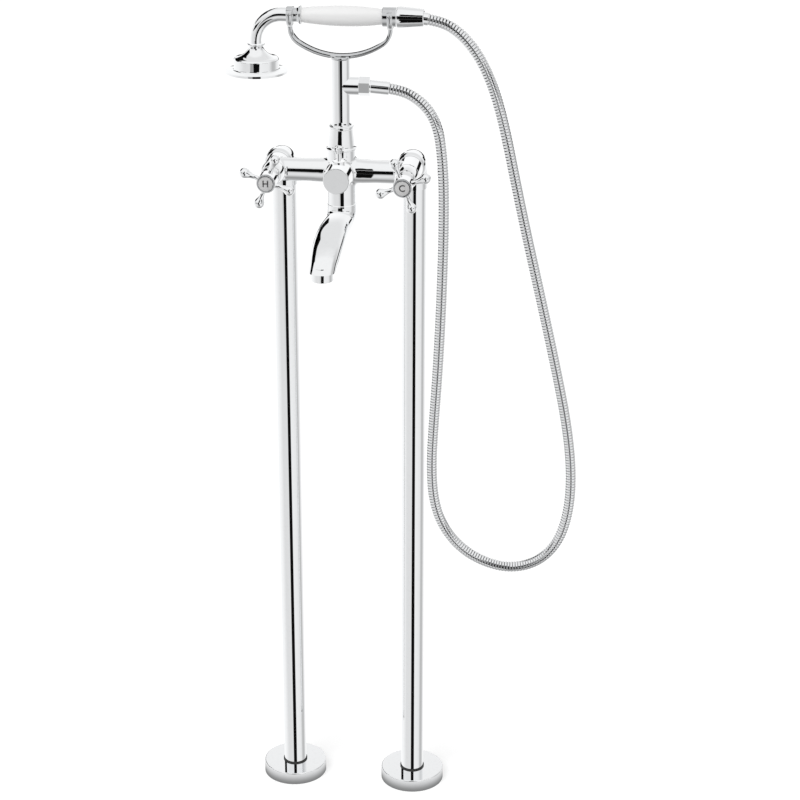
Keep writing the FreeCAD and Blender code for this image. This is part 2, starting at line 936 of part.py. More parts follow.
def diverter_guide():
    """The gland in the boss that guides the pull rod."""
    neck = s.gland_outer / 2 - 2 - s.fit
    outer = s.gland_outer / 2
    hole = stem_radius + s.seam
    plug = 4
    edge = 0.8
    return turned(
        "diverter_guide", (0, gland_y, gland_seat - plug), UP,
        [
            (hole, 0),
            (neck, 0),
            (neck, plug),
            (outer, plug),
            (outer, plug + s.gland_height - edge),
            (outer - edge, plug + s.gland_height, edge),
            (hole, plug + s.gland_height),
        ],
    )


def diverter_rod():
    """The pull rod."""
    length = knob_seat - rod_foot + 6
    return turned(
        "diverter_rod", (0, gland_y, rod_foot), UP,
        [(0, 0), (stem_radius, 0), (stem_radius, length), (0, length)],
    )


def diverter_knob():
    """The small knob that is pulled up to send water to the hand shower."""
    outer = s.knob_outer / 2
    hole = stem_radius + s.fit
    height = s.knob_height
    return turned(
        "diverter_knob", (0, gland_y, knob_seat), UP,
        [
            (hole, 0),
            (3.6, 0),
            (3.6, 2),
            (outer, 3.5),
            (outer, height - 3),
            (0, height, dome(outer, 3)),
            (0, 6 + s.fit),
            (hole, 6 + s.fit),
        ],
    )


def diverter_piston():
    """Closes the way to the spout when the knob is up."""
    outer = s.piston_outer / 2
    hole = stem_radius + s.fit
    return turned(
        "diverter_piston", (0, gland_y, rod_foot), UP,
        [(hole, 0), (outer, 0), (outer, 3), (hole, 3)],
    )


diverter_guide()
diverter_rod()
diverter_knob()
diverter_piston()

# ---------------------------------------------------------------------------
# Spout
# ---------------------------------------------------------------------------

spout_turn = Rotation(Vector(0, 0, 1), -SIZES["spout_rest"])


# Ovals along the arm: (share of the reach, share of the drop, tilt in degrees,
# width and thickness as shares of the barrel's diameter)
ARM_OVALS = [
    (0.00, 0.27, 9, 0.93, 0.70),
    (0.24, 0.355, 12, 0.945, 0.74),
    (0.46, 0.475, 16, 1.00, 0.76),
    (0.67, 0.63, 27, 1.09, 0.76),
    (0.84, 0.78, 45, 1.14, 0.78),
    (0.94, 0.89, 67, 1.155, 0.86),
    (1.00, 1.00, 90, 1.155, 0.96),
]
CAVITY_OVALS = ARM_OVALS[:-2] + [(0.93, 0.845, 66, 1.155, 0.86), (0.99, 0.91, 88, 1.155, 0.94)]


def oval(centre, half_long, half_short):
    """An oval of four arcs."""
    spots = [
        centre + half_long * math.cos(angle) + half_short * math.sin(angle)
        for angle in (math.pi * eighth / 4 for eighth in range(1, 10))
    ]
    return Part.Wire([Part.Arc(*spots[first:first + 3]).toShape() for first in (0, 2, 4, 6)])


def spout_arm(ovals, inset):
    """The loft through the arm's ovals, each drawn in by the inset."""
    reach = s.spout_reach.value
    drop = (column_foot - lip_height).value
    barrel = s.spout_barrel.value
    across = Vector(1, 0, 0)
    wires = []
    for out, fall, tilt, width, thickness in ovals:
        ahead = math.radians(tilt)
        over = Vector(0, -math.sin(ahead), math.cos(ahead))
        centre = Vector(0, -out * reach, -fall * drop)
        wires.append(oval(centre, across * (width * barrel / 2 - inset), over * (thickness * barrel / 2 - inset)))
    return Part.makeLoft(wires, True, False)


def spout():
    """The swivelling spout: spigot, barrel and curved arm, cast hollow."""
    barrel = s.spout_barrel.value / 2
    length = s.spout_barrel_length.value
    spigot = s.spout_spigot.value / 2
    rise = s.spout_spigot_length.value
    wall = s.spout_wall.value
    mouth = s.aerator_outer.value / 2 - 1.5
    drop = (column_foot - lip_height).value
    top = -s.seam.value
    body = Part.makeCylinder(barrel, length + top, Vector(0, 0, -length))
    foot = [edge for edge in body.Edges if abs(edge.CenterOfMass.z + length) < 0.01]
    body = body.makeFillet(s.spout_barrel_round.value, foot)
    neck = Part.makeCylinder(spigot, rise - top, Vector(0, 0, top))
    bore = Part.makeCylinder(spigot - wall, length + rise - 2 * wall, Vector(0, 0, 2 * wall - length))
    way = Part.makeCylinder(mouth, 9, Vector(0, -s.spout_reach.value, -drop - 1))
    solid = body.fuse([spout_arm(ARM_OVALS, 0), neck])
    solid = solid.cut([spout_arm(CAVITY_OVALS, wall), bore, way])
    return shaped("spout", solid, (0, front_axis, column_foot), spout_turn)


def spout_seals():
    """Two rubber rings in the column that the spigot turns in."""
    inner = s.spout_spigot / 2
    outer = s.column_bore / 2
    body = doc.addObject("Part::Compound", "spout_seals")
    rings = []
    for number, height in enumerate((4, 9)):
        ring = doc.addObject("Part::Torus", f"spout_seal_{number}")
        bind(ring, "Radius1", (inner + outer) / 2)
        bind(ring, "Radius2", (outer - inner) / 2)
        place(ring, (0, front_axis, column_foot + height), UP)
        rings.append(ring)
    body.Links = rings
    return keep(body, "spout_seals")


def at_spout(x, y, z):
    """A spot given in the spout's own frame, when it stands at rest."""
    turn = math.radians(SIZES["spout_rest"])
    return (y * math.sin(turn) + x * math.cos(turn), front_axis + y * math.cos(turn), z)


def aerator_housing():
    """The ring screwed into the spout's mouth."""
    outer = s.aerator_outer / 2
    inner = outer - 1.5
    edge = 0.6
    return turned(
        "aerator_housing", at_spout(0, -s.spout_reach, lip_height - s.aerator_drop), UP,
        [
            (inner - 1, 0),
            (outer - edge, 0),
            (outer, edge, edge),
            (outer, s.aerator_drop),
            (inner - s.fit, s.aerator_drop),
            (inner - s.fit, s.aerator_drop + 6),
            (inner - 2, s.aerator_drop + 6),
            (inner - 2, s.aerator_drop - 4),
            (inner - 1, s.aerator_drop - 4),
        ],
    )


def aerator_insert():
    """The sieve inside the ring."""
    outer = s.aerator_outer / 2 - 2.5 - s.fit
    body = turned(
        "aerator_insert", at_spout(0, -s.spout_reach, lip_height - s.aerator_drop + 0.8), UP,
        [(0, 0), (outer, 0), (outer, 3), (0, 3)],
    )
    holes = []
    for count, ring in ((6, 3.2), (12, 6.4)):
        for number in range(count):
            angle = 2 * math.pi * number / count
            holes.append((ring * math.cos(angle), ring * math.sin(angle), 0.9))
    return drill(body, holes)


spout()
spout_seals()
aerator_housing()
aerator_insert()

# ---------------------------------------------------------------------------
# Riser and hose outlet
# ---------------------------------------------------------------------------

riser_radius = s.riser_outer / 2
sleeve_top = column_head + s.sleeve_height


def riser_sleeve():
    """The flared sleeve screwed into the column's top."""
    outer = s.sleeve_outer / 2
    spigot = s.column_bore / 2 - s.fit
    neck = s.ring_outer / 2 - 0.7
    foot = 12
    top = foot + s.sleeve_height
    bore = riser_radius + s.fit
    return turned(
        "riser_sleeve", (0, front_axis, column_head - foot), UP,
        [
            (bore, 0),
            (spigot, 0),
            (spigot, foot),
            (outer - 1, foot),
            (outer, foot + 1, 1),
            (outer, foot + 1.8),
            (outer - 2.2, foot + 5, -4),
            (neck, top),
            (bore, top),
        ],
    )


def riser_ring():
    """The small nut that clamps the riser in its sleeve."""
    outer = s.ring_outer / 2
    bore = riser_radius + s.fit
    edge = 1.2
    flat = 4
    return turned(
        "riser_ring", (0, front_axis, sleeve_top), UP,
        [
            (bore, 0),
            (outer - edge, 0),
            (outer, edge, edge),
            (outer, flat - edge),
            (outer - edge, flat, edge),
            (bore + 1, flat + 0.5),
            (bore, s.ring_height, -12),
        ],
    )


def riser_tube():
    """The tube from the mixer to the cradle, with the hose outlet's side hole."""
    foot = column_head - s.riser_foot
    bore = riser_radius - s.riser_wall
    length = riser_top - foot
    solid = cylinder("riser_solid", riser_radius, length, (0, front_axis, foot))
    tools = joined("riser_inside", [
        cylinder("riser_bore", bore, length - 12, (0, front_axis, foot)),
        cylinder("riser_spigot_bore", 6.05, 14, (0, front_axis, riser_top - 14)),
        cylinder("riser_side_hole", s.outlet_bore / 2, s.riser_outer, (0, front_axis, outlet_height), RIGHT),
    ])
    return keep(hollowed("riser_tube", solid, tools), "riser_tube")


def hose_outlet():
    """The stub on the riser that the hose screws to."""
    outer = s.outlet_outer / 2
    spot = (0, front_axis, outlet_height)
    solid = joined("hose_outlet_outside", [
        cylinder("hose_outlet_stub", outer, s.outlet_reach, spot, RIGHT),
        cylinder("hose_outlet_thread", s.outlet_thread / 2, s.outlet_reach + 6, spot, RIGHT),
    ])
    tools = joined("hose_outlet_inside", [
        cylinder("hose_outlet_bore", s.outlet_bore / 2, s.outlet_reach + 6, spot, RIGHT),
        cylinder("hose_outlet_saddle", riser_radius + s.fit, 2 * s.outlet_outer,
                 (0, front_axis, outlet_height - s.outlet_outer)),
    ])
    return keep(hollowed("hose_outlet", solid, tools), "hose_outlet")


def outlet_hose_nut():
    """The hexagon nut at the hose's lower end."""
    nut = doc.addObject("Part::Prism", "outlet_nut_hexagon")
    nut.Polygon = 6
    bind(nut, "Circumradius", s.hose_nut_flats / 2 / math.cos(math.pi / 6))
    bind(nut, "Height", s.hose_nut_length)
    place(nut, (s.outlet_reach + 0.2, front_axis, outlet_height), RIGHT)
    spot = (s.outlet_reach + 0.2, front_axis, outlet_height)
    tools = joined("outlet_nut_inside", [
        cylinder("outlet_nut_thread", s.outlet_thread / 2 + 0.2, s.hose_nut_length - 2, spot, RIGHT),
        cylinder("outlet_nut_hole", s.ferrule_collar / 2 + s.seam, s.hose_nut_length, spot, RIGHT),
    ])
    return keep(hollowed("outlet_hose_nut", nut, tools), "outlet_hose_nut")


def outlet_washer():
    """The rubber washer in the hose nut."""
    return turned(
        "outlet_washer", (s.outlet_reach + 6, front_axis, outlet_height), RIGHT,
        [(4, 0), (7.9, 0), (7.9, 1.4), (4, 1.4)],
    )


ferrule_pivot = s.outlet_reach + 9
ferrule_turn = Rotation(Vector(0, 1, 0), 90 + SIZES["ferrule_droop"])
hose_radius = s.hose_outer / 2
ferrule_length = 25
hose_seat = 12.4                     # how far along the ferrule the hose starts


def outlet_ferrule():
    """The sleeve crimped on the hose's end; it droops a little in its nut."""
    outer = s.ferrule_outer / 2
    socket = hose_radius + s.fit
    neck = 6.8
    return turned(
        "outlet_ferrule", (ferrule_pivot, front_axis, outlet_height), ferrule_turn,
        [
            (4, -0.9),
            (s.ferrule_collar / 2, -0.9),
            (s.ferrule_collar / 2, 0.2),
            (neck, 0.2),
            (neck, 4),
            (outer, 4.6),
            (outer, ferrule_length - 0.5),
            (outer - 0.5, ferrule_length, 0.5),
            (socket, ferrule_length),
            (socket, hose_seat),
            (4, hose_seat),
        ],
    )


riser_sleeve()
riser_ring()
riser_tube()
hose_outlet()
outlet_hose_nut()
outlet_washer()
outlet_ferrule()

# ---------------------------------------------------------------------------
# Cradle
# ---------------------------------------------------------------------------

def cradle_fork():
    """The bent strap on the riser with an open yoke at each end."""
    y = front_axis.value
    sweep = s.cradle_sweep.value
    corner = s.cradle_corner.value
    half = s.cradle_half.value
    thick = s.strap_thickness.value
    width = s.strap_width.value
    axis = handset_axis.value
    base = riser_top.value + thick / 2 + 1
    centre = Vector(0, y, base + sweep)
    corner_x = half - corner
    drop = math.sqrt((sweep - corner) ** 2 - corner_x ** 2)
    corner_z = centre.z - drop
    outward = Vector(corner_x, 0, -drop).normalize()
    joint = Vector(corner_x, y, corner_z) + outward * corner
    lowest = Vector(0, y, base)
    solids = []
    for side, collar in ((-1, s.front_ferrule_outer), (1, s.rear_ferrule_outer)):
        inner = collar.value / 2 + s.yoke_play.value
        outer = inner + s.yoke_wall.value
        foot = axis - outer + 1
        flip = lambda point: Vector(side * point.x, point.y, point.z)
        path = Part.Wire([
            arc_through(flip(lowest), flip(joint), flip(centre), sweep),
            arc_through(flip(joint), flip(Vector(half, y, corner_z)), flip(Vector(corner_x, y, corner_z)), corner),
            Part.LineSegment(flip(Vector(half, y, corner_z)), flip(Vector(half, y, foot))).toShape(),
        ])
        section = Part.makePolygon([
            lowest + Vector(0, -width / 2, -thick / 2),
            lowest + Vector(0, width / 2, -thick / 2),
            lowest + Vector(0, width / 2, thick / 2),
            lowest + Vector(0, -width / 2, thick / 2),
            lowest + Vector(0, -width / 2, -thick / 2),
        ])
        solids.append(path.makePipeShell([section], True, False))
        left = side * half - s.yoke_width.value / 2
        height = s.yoke_prong.value
        ring = Part.makeCylinder(outer, s.yoke_width.value, Vector(left, y, axis), Vector(1, 0, 0))
        prongs = Part.makeBox(s.yoke_width.value, 2 * outer, height, Vector(left, y - outer, axis))
        mouth = Part.makeBox(s.yoke_width.value, 2 * inner, outer + height, Vector(left, y - inner, axis))
        hole = Part.makeCylinder(inner, s.yoke_width.value, Vector(left, y, axis), Vector(1, 0, 0))
        above = Part.makeBox(s.yoke_width.value, 2 * outer, outer, Vector(left, y - outer, axis + height))
        solids.append(ring.fuse(prongs).cut([mouth, hole, above]))
    foot_disc = Part.makeCylinder(s.riser_outer.value / 2, 1 + thick / 2, Vector(0, y, riser_top.value))
    spigot = Part.makeCylinder(6, 10, Vector(0, y, riser_top.value - 9))
    solid = solids[0].fuse(solids[1:] + [foot_disc, spigot]).removeSplitter()
    return shaped("cradle_fork", solid)


def arc_through(start, end, centre, radius):
    """The short arc about a centre from start to end."""
    middle = ((start - centre) + (end - centre)).normalize() * radius + centre
    return Part.Arc(start, middle, end).toShape()


cradle_fork()

# ---------------------------------------------------------------------------
# Handset
# ---------------------------------------------------------------------------

grip_left_x = -s.grip_start
grip_right_x = s.grip_length - s.grip_start
liner_radius = s.liner_outer / 2
front_ferrule_x = grip_left_x - s.front_ferrule_length
neck_x = front_ferrule_x - 6
head_x = neck_x - s.neck_bend
rear_end = grip_right_x + s.rear_ferrule_length
grip_nut_x = rear_end + 1


def handset_grip():
    """The white porcelain grip, thickest a little past its middle."""
    left = s.grip_left / 2
    middle = s.grip_middle / 2
    right = s.grip_right / 2
    bore = liner_radius + 0.3
    rest = s.grip_length - s.grip_peak
    return turned(
        "handset_grip", (grip_left_x, front_axis, handset_axis), RIGHT,
        [
            (bore, 0),
            (left, 0),
            (middle, s.grip_peak, dome(s.grip_peak, middle - left)),
            (right, s.grip_length, dome(rest, middle - right)),
            (bore, s.grip_length),
        ],
    )


def grip_liner_tube():
    """The brass tube that carries the water through the grip."""
    length = s.grip_length + 10
    inner = liner_radius - s.liner_wall
    return turned(
        "grip_liner_tube", (grip_left_x - 5, front_axis, handset_axis), RIGHT,
        [(inner, 0), (liner_radius, 0), (liner_radius, length), (inner, length)],
    )


def front_ferrule():
    """The waisted collar between grip and neck; it lies in the left yoke."""
    outer = s.front_ferrule_outer / 2
    length = s.front_ferrule_length
    bore = liner_radius + s.fit
    return turned(
        "front_ferrule", (front_ferrule_x, front_axis, handset_axis), RIGHT,
        [
            (4, 0),
            (outer - 0.6, 0),
            (outer, 0.6, 0.6),
            (outer, 6.6),
            (outer - 1.6, 8.2, -3),
            (outer - 1.6, 11),
            (outer + 1, length - 1.4, -6),
            (outer + 1, length),
            (bore, length),
            (bore, length - 5),
            (4, length - 5),
        ],
    )


def rear_ferrule():
    """The collar between grip and hose; it lies in the right yoke."""
    outer = s.rear_ferrule_outer / 2
    length = s.rear_ferrule_length
    bore = liner_radius + s.fit
    return turned(
        "rear_ferrule", (grip_right_x, front_axis, handset_axis), RIGHT,
        [
            (bore, 0),
            (outer - 0.8, 0),
            (outer, 0.8, 0.8),
            (outer, length),
            (8.2, length),
            (8.2, length + 9),
            (4, length + 9),
            (4, 5),
            (bore, 5),
        ],
    )


def handset_hose_nut():
    """The long conical nut at the hose's upper end."""
    outer = s.grip_nut_outer / 2
    nose = s.grip_nut_nose / 2
    length = s.grip_nut_length
    edge = 0.8
    return turned(
        "handset_hose_nut", (grip_nut_x, front_axis, handset_axis), RIGHT,
        [
            (8.4, 0),
            (outer - edge, 0),
            (outer, edge, edge),
            (outer, 5),
            (nose, length - 1),
            (nose - 1, length, 1),
            (8.4, length),
        ],
    )


ring_start = grip_nut_x + 20
ring_turn = Rotation(Vector(0, 1, 0), 90 + SIZES["end_ring_droop"])
ring_seat = 2.6                      # how far along the ring the hose starts


def hose_end_ring():
    """The sleeve crimped on the hose's upper end, loose in its nut."""
    outer = s.end_ring_outer / 2
    socket = hose_radius + s.fit
    return turned(
        "hose_end_ring", (ring_start, front_axis, handset_axis), ring_turn,
        [
            (4, 0),
            (outer, 0),
            (outer, s.end_ring_reach - 0.5),
            (outer - 0.5, s.end_ring_reach, 0.5),
            (socket, s.end_ring_reach),
            (socket, ring_seat),
            (4, ring_seat),
        ],
    )


def handset_neck():
    """The bent, slightly tapered tube from the grip to the head."""
    x = neck_x.value
    y = front_axis.value
    z = handset_axis.value
    bend = s.neck_bend.value
    start = Vector(x, y, z)
    end = Vector(x - bend, y, z - bend)
    centre = Vector(x, y, z - bend)
    arc = Part.Wire([arc_through(start, end, centre, bend)])
    wall = s.neck_wall.value
    shells = []
    for inset in (0, wall):
        thick = Part.Wire([Part.Circle(start, Vector(1, 0, 0), s.neck_outer.value / 2 - inset).toShape()])
        thin = Part.Wire([Part.Circle(end, Vector(0, 0, 1), s.neck_tip.value / 2 - inset).toShape()])
        shells.append(arc.makePipeShell([thick, thin], True, False))
    stub = Part.makeCylinder(s.neck_outer.value / 2, 6, start, Vector(1, 0, 0))
    stub_bore = Part.makeCylinder(s.neck_outer.value / 2 - wall, 6, start, Vector(1, 0, 0))
    drop = end.z - head_top.value - 2.5
    foot = Part.makeCylinder(s.neck_tip.value / 2, drop, end, Vector(0, 0, -1))
    foot_bore = Part.makeCylinder(s.neck_tip.value / 2 - wall, drop, end, Vector(0, 0, -1))
    solid = shells[0].fuse([stub, foot]).removeSplitter()
    return shaped("handset_neck", solid.cut(shells[1].fuse([stub_bore, foot_bore])))


def neck_collar():
    """The thin disc between neck and head."""
    outer = s.collar_outer / 2
    return turned(
        "neck_collar", (head_x, front_axis, head_top), UP,
        [(4.5, 0), (outer - 0.8, 0), (outer, 1, 1.3), (outer - 0.8, 2.5, 1.6), (4.5, 2.5)],
    )


def shower_head():
    """The bell: a flared shell with a straight wall and a wide flat rim."""
    shoulder = s.bell_shoulder / 2
    rim = s.bell_rim / 2
    depth = s.bell_depth
    wall = s.bell_wall
    top = 8
    flare = depth * 0.52
    return turned(
        "shower_head", (head_x, front_axis, head_top - depth), UP,
        [
            (rim, 0),
            (rim, s.rim_thickness),
            (shoulder + 1, s.rim_thickness + 1.2),
            (shoulder, s.rim_thickness + 3, -2),
            (shoulder, depth - flare),
            (shoulder - 2, depth - flare + 2.4, 4),
            (top + 2.5, depth - 6, -22),
            (top, depth, -9),
            (4.5, depth),
            (4.5, depth - 2),
            (top - wall + 1.5, depth - 7),
            (shoulder - wall - 4, depth - flare + 1.2, 22),
            (shoulder - wall, depth - flare - 3, -5),
            (shoulder - wall, 0),
        ],
    )


def spray_plate():
    """The drilled plate that closes the bell."""
    outer = s.bell_shoulder / 2 - s.bell_wall - s.fit
    body = turned(
        "spray_plate", (head_x, front_axis, head_top - s.bell_depth + 0.4), UP,
        [(0, 0), (outer, 0), (outer, s.spray_thickness), (0, s.spray_thickness)],
    )
    holes = [(0, 0, s.spray_hole / 2)]
    for count, ring in ((6, 8), (12, 16)):
        for number in range(count):
            angle = 2 * math.pi * number / count
            holes.append((ring * math.cos(angle), ring * math.sin(angle), s.spray_hole / 2))
    return drill(body, holes)


handset_grip()
grip_liner_tube()
front_ferrule()
rear_ferrule()
handset_hose_nut()
hose_end_ring()
handset_neck()
neck_collar()
shower_head()
spray_plate()

# ---------------------------------------------------------------------------
# Shower hose
# ---------------------------------------------------------------------------

# The route's points, chosen by hand: (right, up) in the riser's plane, from
# inside the outlet ferrule, down in one long loop and up into the end ring.
HOSE_ROUTE = [
    (42.37, 929.64), (65.31, 928.03), (86, 918.5), (102, 902.5), (111, 882), (115, 855),
    (117.5, 820), (118, 772), (117, 715), (115, 650.5), (112, 585.5), (108, 524.5),
    (105.5, 473.5), (107.5, 432), (115.5, 399.5), (131, 373.5), (153, 353.5), (182, 341),
    (208, 339), (231.5, 346.5), (250, 362), (263.5, 385.5), (271, 416), (273.5, 450),
    (271.5, 489), (265, 535), (254, 588), (240.5, 647.5), (226, 709), (211.5, 770),
    (199, 826), (188, 877), (177.5, 917.5), (165.5, 949.5), (151, 975), (131, 996.5),
    (109.46, 1006.82), (86.59, 1009.23),
]
TANGENT_SHARE = 0.45                # of the shorter run, taken by each arc


def seated(start, height, droop, depth):
    """A spot in the riser's plane, some way along a sleeve that droops."""
    fall = math.radians(droop)
    return Vector(start.value + depth * math.cos(fall), front_axis.value, height.value - depth * math.sin(fall))


def hose_points():
    """The route's points, each moved as its nearer end has moved since it was drawn."""
    y = front_axis.value
    drawn = [Vector(x, y, z) for x, z in HOSE_ROUTE]
    first = seated(ferrule_pivot, outlet_height, SIZES["ferrule_droop"], hose_seat) - drawn[0]
    last = seated(ring_start, handset_axis, SIZES["end_ring_droop"], ring_seat) - drawn[-1]
    steps = len(drawn) - 1
    return [spot + first * (1 - index / steps) + last * (index / steps) for index, spot in enumerate(drawn)]


def hose_path(points):
    """Straight runs joined by tangent arcs, as edges in order, with the arcs' radii."""
    edges = []
    radii = []
    here = points[0]
    for before, corner, after in zip(points, points[1:], points[2:]):
        arriving = (corner - before).normalize()
        leaving = (after - corner).normalize()
        tangent = TANGENT_SHARE * min((corner - before).Length, (after - corner).Length)
        turn = arriving.getAngle(leaving)
        radius = tangent / math.tan(turn / 2)
        first = corner - arriving * tangent
        last = corner + leaving * tangent
        inward = (leaving - arriving).normalize()
        centre = corner + inward * (radius / math.cos(turn / 2))
        edges.append(Part.LineSegment(here, first).toShape())
        edges.append(arc_through(first, last, centre, radius))
        radii.append(radius)
        here = last
    edges.append(Part.LineSegment(here, points[-1]).toShape())
    return edges, radii


def points_along(edges, distances):
    """The point and the direction at each distance along a chain of edges."""
    spots = []
    walked = 0
    index = 0
    for distance in distances:
        while index < len(edges) - 1 and distance > walked + edges[index].Length:
            walked += edges[index].Length
            index += 1
        edge = edges[index]
        parameter = edge.getParameterByLength(min(max(distance - walked, 0), edge.Length))
        spots.append((edge.valueAt(parameter), edge.tangentAt(parameter)))
    return spots


def shower_hose():
    """The ribbed metal hose: ribs along the route, bored through."""
    edges, radii = hose_path(hose_points())
    length = sum(edge.Length for edge in edges)
    outer = s.hose_outer.value / 2
    groove = outer - s.hose_groove.value
    ribs = round(s.hose_ribs.value)
    plain = s.hose_outer.value
    pitch = (length - 2 * plain) / ribs
    distances = [0]
    sizes = [outer]
    for number in range(ribs):
        start = plain + number * pitch
        for share, radius in ((0.12, outer), (0.24, groove), (0.76, groove), (0.88, outer)):
            distances.append(start + share * pitch)
            sizes.append(radius)
    distances.append(length)
    sizes.append(outer)
    circles = []
    bores = []
    for (point, along), radius in zip(points_along(edges, distances), sizes):
        for wires, size in ((circles, radius), (bores, s.hose_bore.value / 2)):
            circle = Part.Circle(point, along, size)
            circle.XAxis = Vector(0, 1, 0)
            wires.append(Part.Wire([circle.toShape()]))
    solid = Part.makeLoft(circles, True, True).cut(Part.makeLoft(bores[::4] + [bores[-1]], True, True))
    print(f"hose: {length:.1f} long, {ribs} ribs of pitch {pitch:.2f}")
    print("hose radii:", " ".join(f"{radius:.0f}" for radius in radii))
    mean = (outer ** 2 * 0.38 + groove ** 2 * 0.62) - (s.hose_bore.value / 2) ** 2
    print(f"hose volume: {solid.Volume:.0f}, about {math.pi * mean * length:.0f} by section")
    print(f"least gap between two turns of the hose: {least_gap(edges, length, outer):.1f}")
    return shaped("shower_hose", solid)


def least_gap(edges, length, radius):
    """The least distance from the hose to itself, apart from its own neighbourhood."""
    step = 5.0
    near = 20 * radius
    count = int(length / step)
    spots = [point for point, _ in points_along(edges, [step * number for number in range(count)])]
    apart = int(near / step)
    gaps = (
        (first - second).Length
        for number, first in enumerate(spots)
        for second in spots[number + apart:]
    )
    return min(gaps) - 2 * radius


shower_hose()

# ---------------------------------------------------------------------------
# Checks and files
# ---------------------------------------------------------------------------

doc.recompute()
for item in doc.Objects:
    if "Invalid" in item.State or "Error" in item.State:
        raise ValueError(f"{item.Label}: {item.State}")
for piece in pieces:
    if piece.Shape.isNull() or not piece.Shape.isValid():
        raise ValueError(f"{piece.Label}: the shape is not valid")
for piece in pieces:
    piece.Shape.exportStep(f"parts/{piece.Label}.step")
    print(f"{piece.Label}: {len(piece.Shape.Solids)} solids, {piece.Shape.Volume / 1000:.2f} cm3")
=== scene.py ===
# %% [markdown]
# # A floor standing bath filler
# The real object is a bath tap on two legs: plated brass tubes bring hot and
# cold water up from the floor to a mixer, which feeds a spout below it and a
# hand shower above it. Almost all of it is mirror-bright chrome, so this
# lesson is mostly about what chrome is: a smooth shape and something to
# reflect. The shapes come from the packed model, the looks are made here.

# %% Tools and the packed model
import json
import math

import bmesh
import bpy
import numpy as np
from mathutils import Matrix, Vector

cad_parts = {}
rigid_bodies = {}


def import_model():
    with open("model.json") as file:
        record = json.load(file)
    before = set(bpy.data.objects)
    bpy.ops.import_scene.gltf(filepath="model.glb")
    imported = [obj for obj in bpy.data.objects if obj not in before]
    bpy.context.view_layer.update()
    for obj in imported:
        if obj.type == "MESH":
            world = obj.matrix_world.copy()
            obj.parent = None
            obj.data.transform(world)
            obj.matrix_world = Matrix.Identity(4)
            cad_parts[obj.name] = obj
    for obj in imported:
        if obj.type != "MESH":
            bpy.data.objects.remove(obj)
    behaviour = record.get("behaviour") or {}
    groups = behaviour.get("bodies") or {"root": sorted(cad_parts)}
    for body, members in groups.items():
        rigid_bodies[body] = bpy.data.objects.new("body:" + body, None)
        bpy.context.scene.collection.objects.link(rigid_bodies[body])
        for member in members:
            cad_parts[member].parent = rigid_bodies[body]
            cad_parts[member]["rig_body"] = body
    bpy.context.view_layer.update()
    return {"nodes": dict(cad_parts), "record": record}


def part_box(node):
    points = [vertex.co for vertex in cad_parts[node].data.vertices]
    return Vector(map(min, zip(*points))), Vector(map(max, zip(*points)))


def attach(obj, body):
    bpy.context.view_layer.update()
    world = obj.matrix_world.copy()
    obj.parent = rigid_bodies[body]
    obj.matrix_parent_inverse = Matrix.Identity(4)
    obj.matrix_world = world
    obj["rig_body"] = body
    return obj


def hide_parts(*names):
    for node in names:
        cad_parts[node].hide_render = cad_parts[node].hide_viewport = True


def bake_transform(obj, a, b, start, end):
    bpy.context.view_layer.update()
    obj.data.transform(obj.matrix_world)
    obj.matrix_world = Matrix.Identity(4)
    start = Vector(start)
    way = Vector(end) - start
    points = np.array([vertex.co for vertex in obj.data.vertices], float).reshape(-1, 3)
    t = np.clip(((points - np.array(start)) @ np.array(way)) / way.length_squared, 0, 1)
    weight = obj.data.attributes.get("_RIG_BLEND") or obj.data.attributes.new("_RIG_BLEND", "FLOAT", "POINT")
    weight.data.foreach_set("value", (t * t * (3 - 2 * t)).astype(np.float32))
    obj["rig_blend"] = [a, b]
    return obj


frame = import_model()
NODES = frame["nodes"]


# %% [markdown]
# ## The camera
# The picture was taken from above the mixer and a little to the right, from
# well back, so that the pipes hardly taper. A camera can be placed by hand
# until it looks right, but a place, two angles and a focal length say the
# same thing exactly, and the later steps can rely on it.

# %% Camera
PHOTO_SIDE = 800                # pixels, across and down
FOCAL_PIXELS = 2148.1
SENSOR = 36.0
CAMERA_SPOT = Vector((0.338776, -2.417104, 1.497622))
CAMERA_AZIMUTH = math.radians(6.587)
CAMERA_PITCH = math.radians(21.726)
CAMERA_ROLL = math.radians(0.056)
CENTRE_SHIFT = 0.00092


def camera_axes(azimuth, pitch):
    """The camera's right, up and backward directions."""
    back = Vector((
        math.sin(azimuth) * math.cos(pitch),
        -math.cos(azimuth) * math.cos(pitch),
        math.sin(pitch),
    ))
    right = Vector((math.cos(azimuth), math.sin(azimuth), 0))
    return right, back.cross(right), back


def make_camera():
    data = bpy.data.cameras.new("camera")
    data.sensor_width = SENSOR
    data.lens = SENSOR * FOCAL_PIXELS / PHOTO_SIDE
    data.shift_x = CENTRE_SHIFT
    data.clip_start, data.clip_end = 0.1, 80
    camera = bpy.data.objects.new("camera", data)
    turn = Matrix(camera_axes(CAMERA_AZIMUTH, CAMERA_PITCH)).transposed().to_4x4()
    camera.matrix_world = (
        Matrix.Translation(CAMERA_SPOT) @ turn @ Matrix.Rotation(CAMERA_ROLL, 4, "Z")
    )
    bpy.context.scene.collection.objects.link(camera)
    bpy.context.scene.camera = camera
    return camera


camera = make_camera()
bpy.context.scene.view_settings.view_transform = "Standard"
print(f"camera: {camera.data.lens:.1f} mm lens")


# %% [markdown]
# ## Writing shaders as sums
# A node tree is easier to read as arithmetic. Each output of a node is
# wrapped in a small class, and adding or multiplying two of them adds the
# Math node that does it. The operators also work with the wire on the right,
# so that 1 - mask is a sum too. Every other node comes from one method.

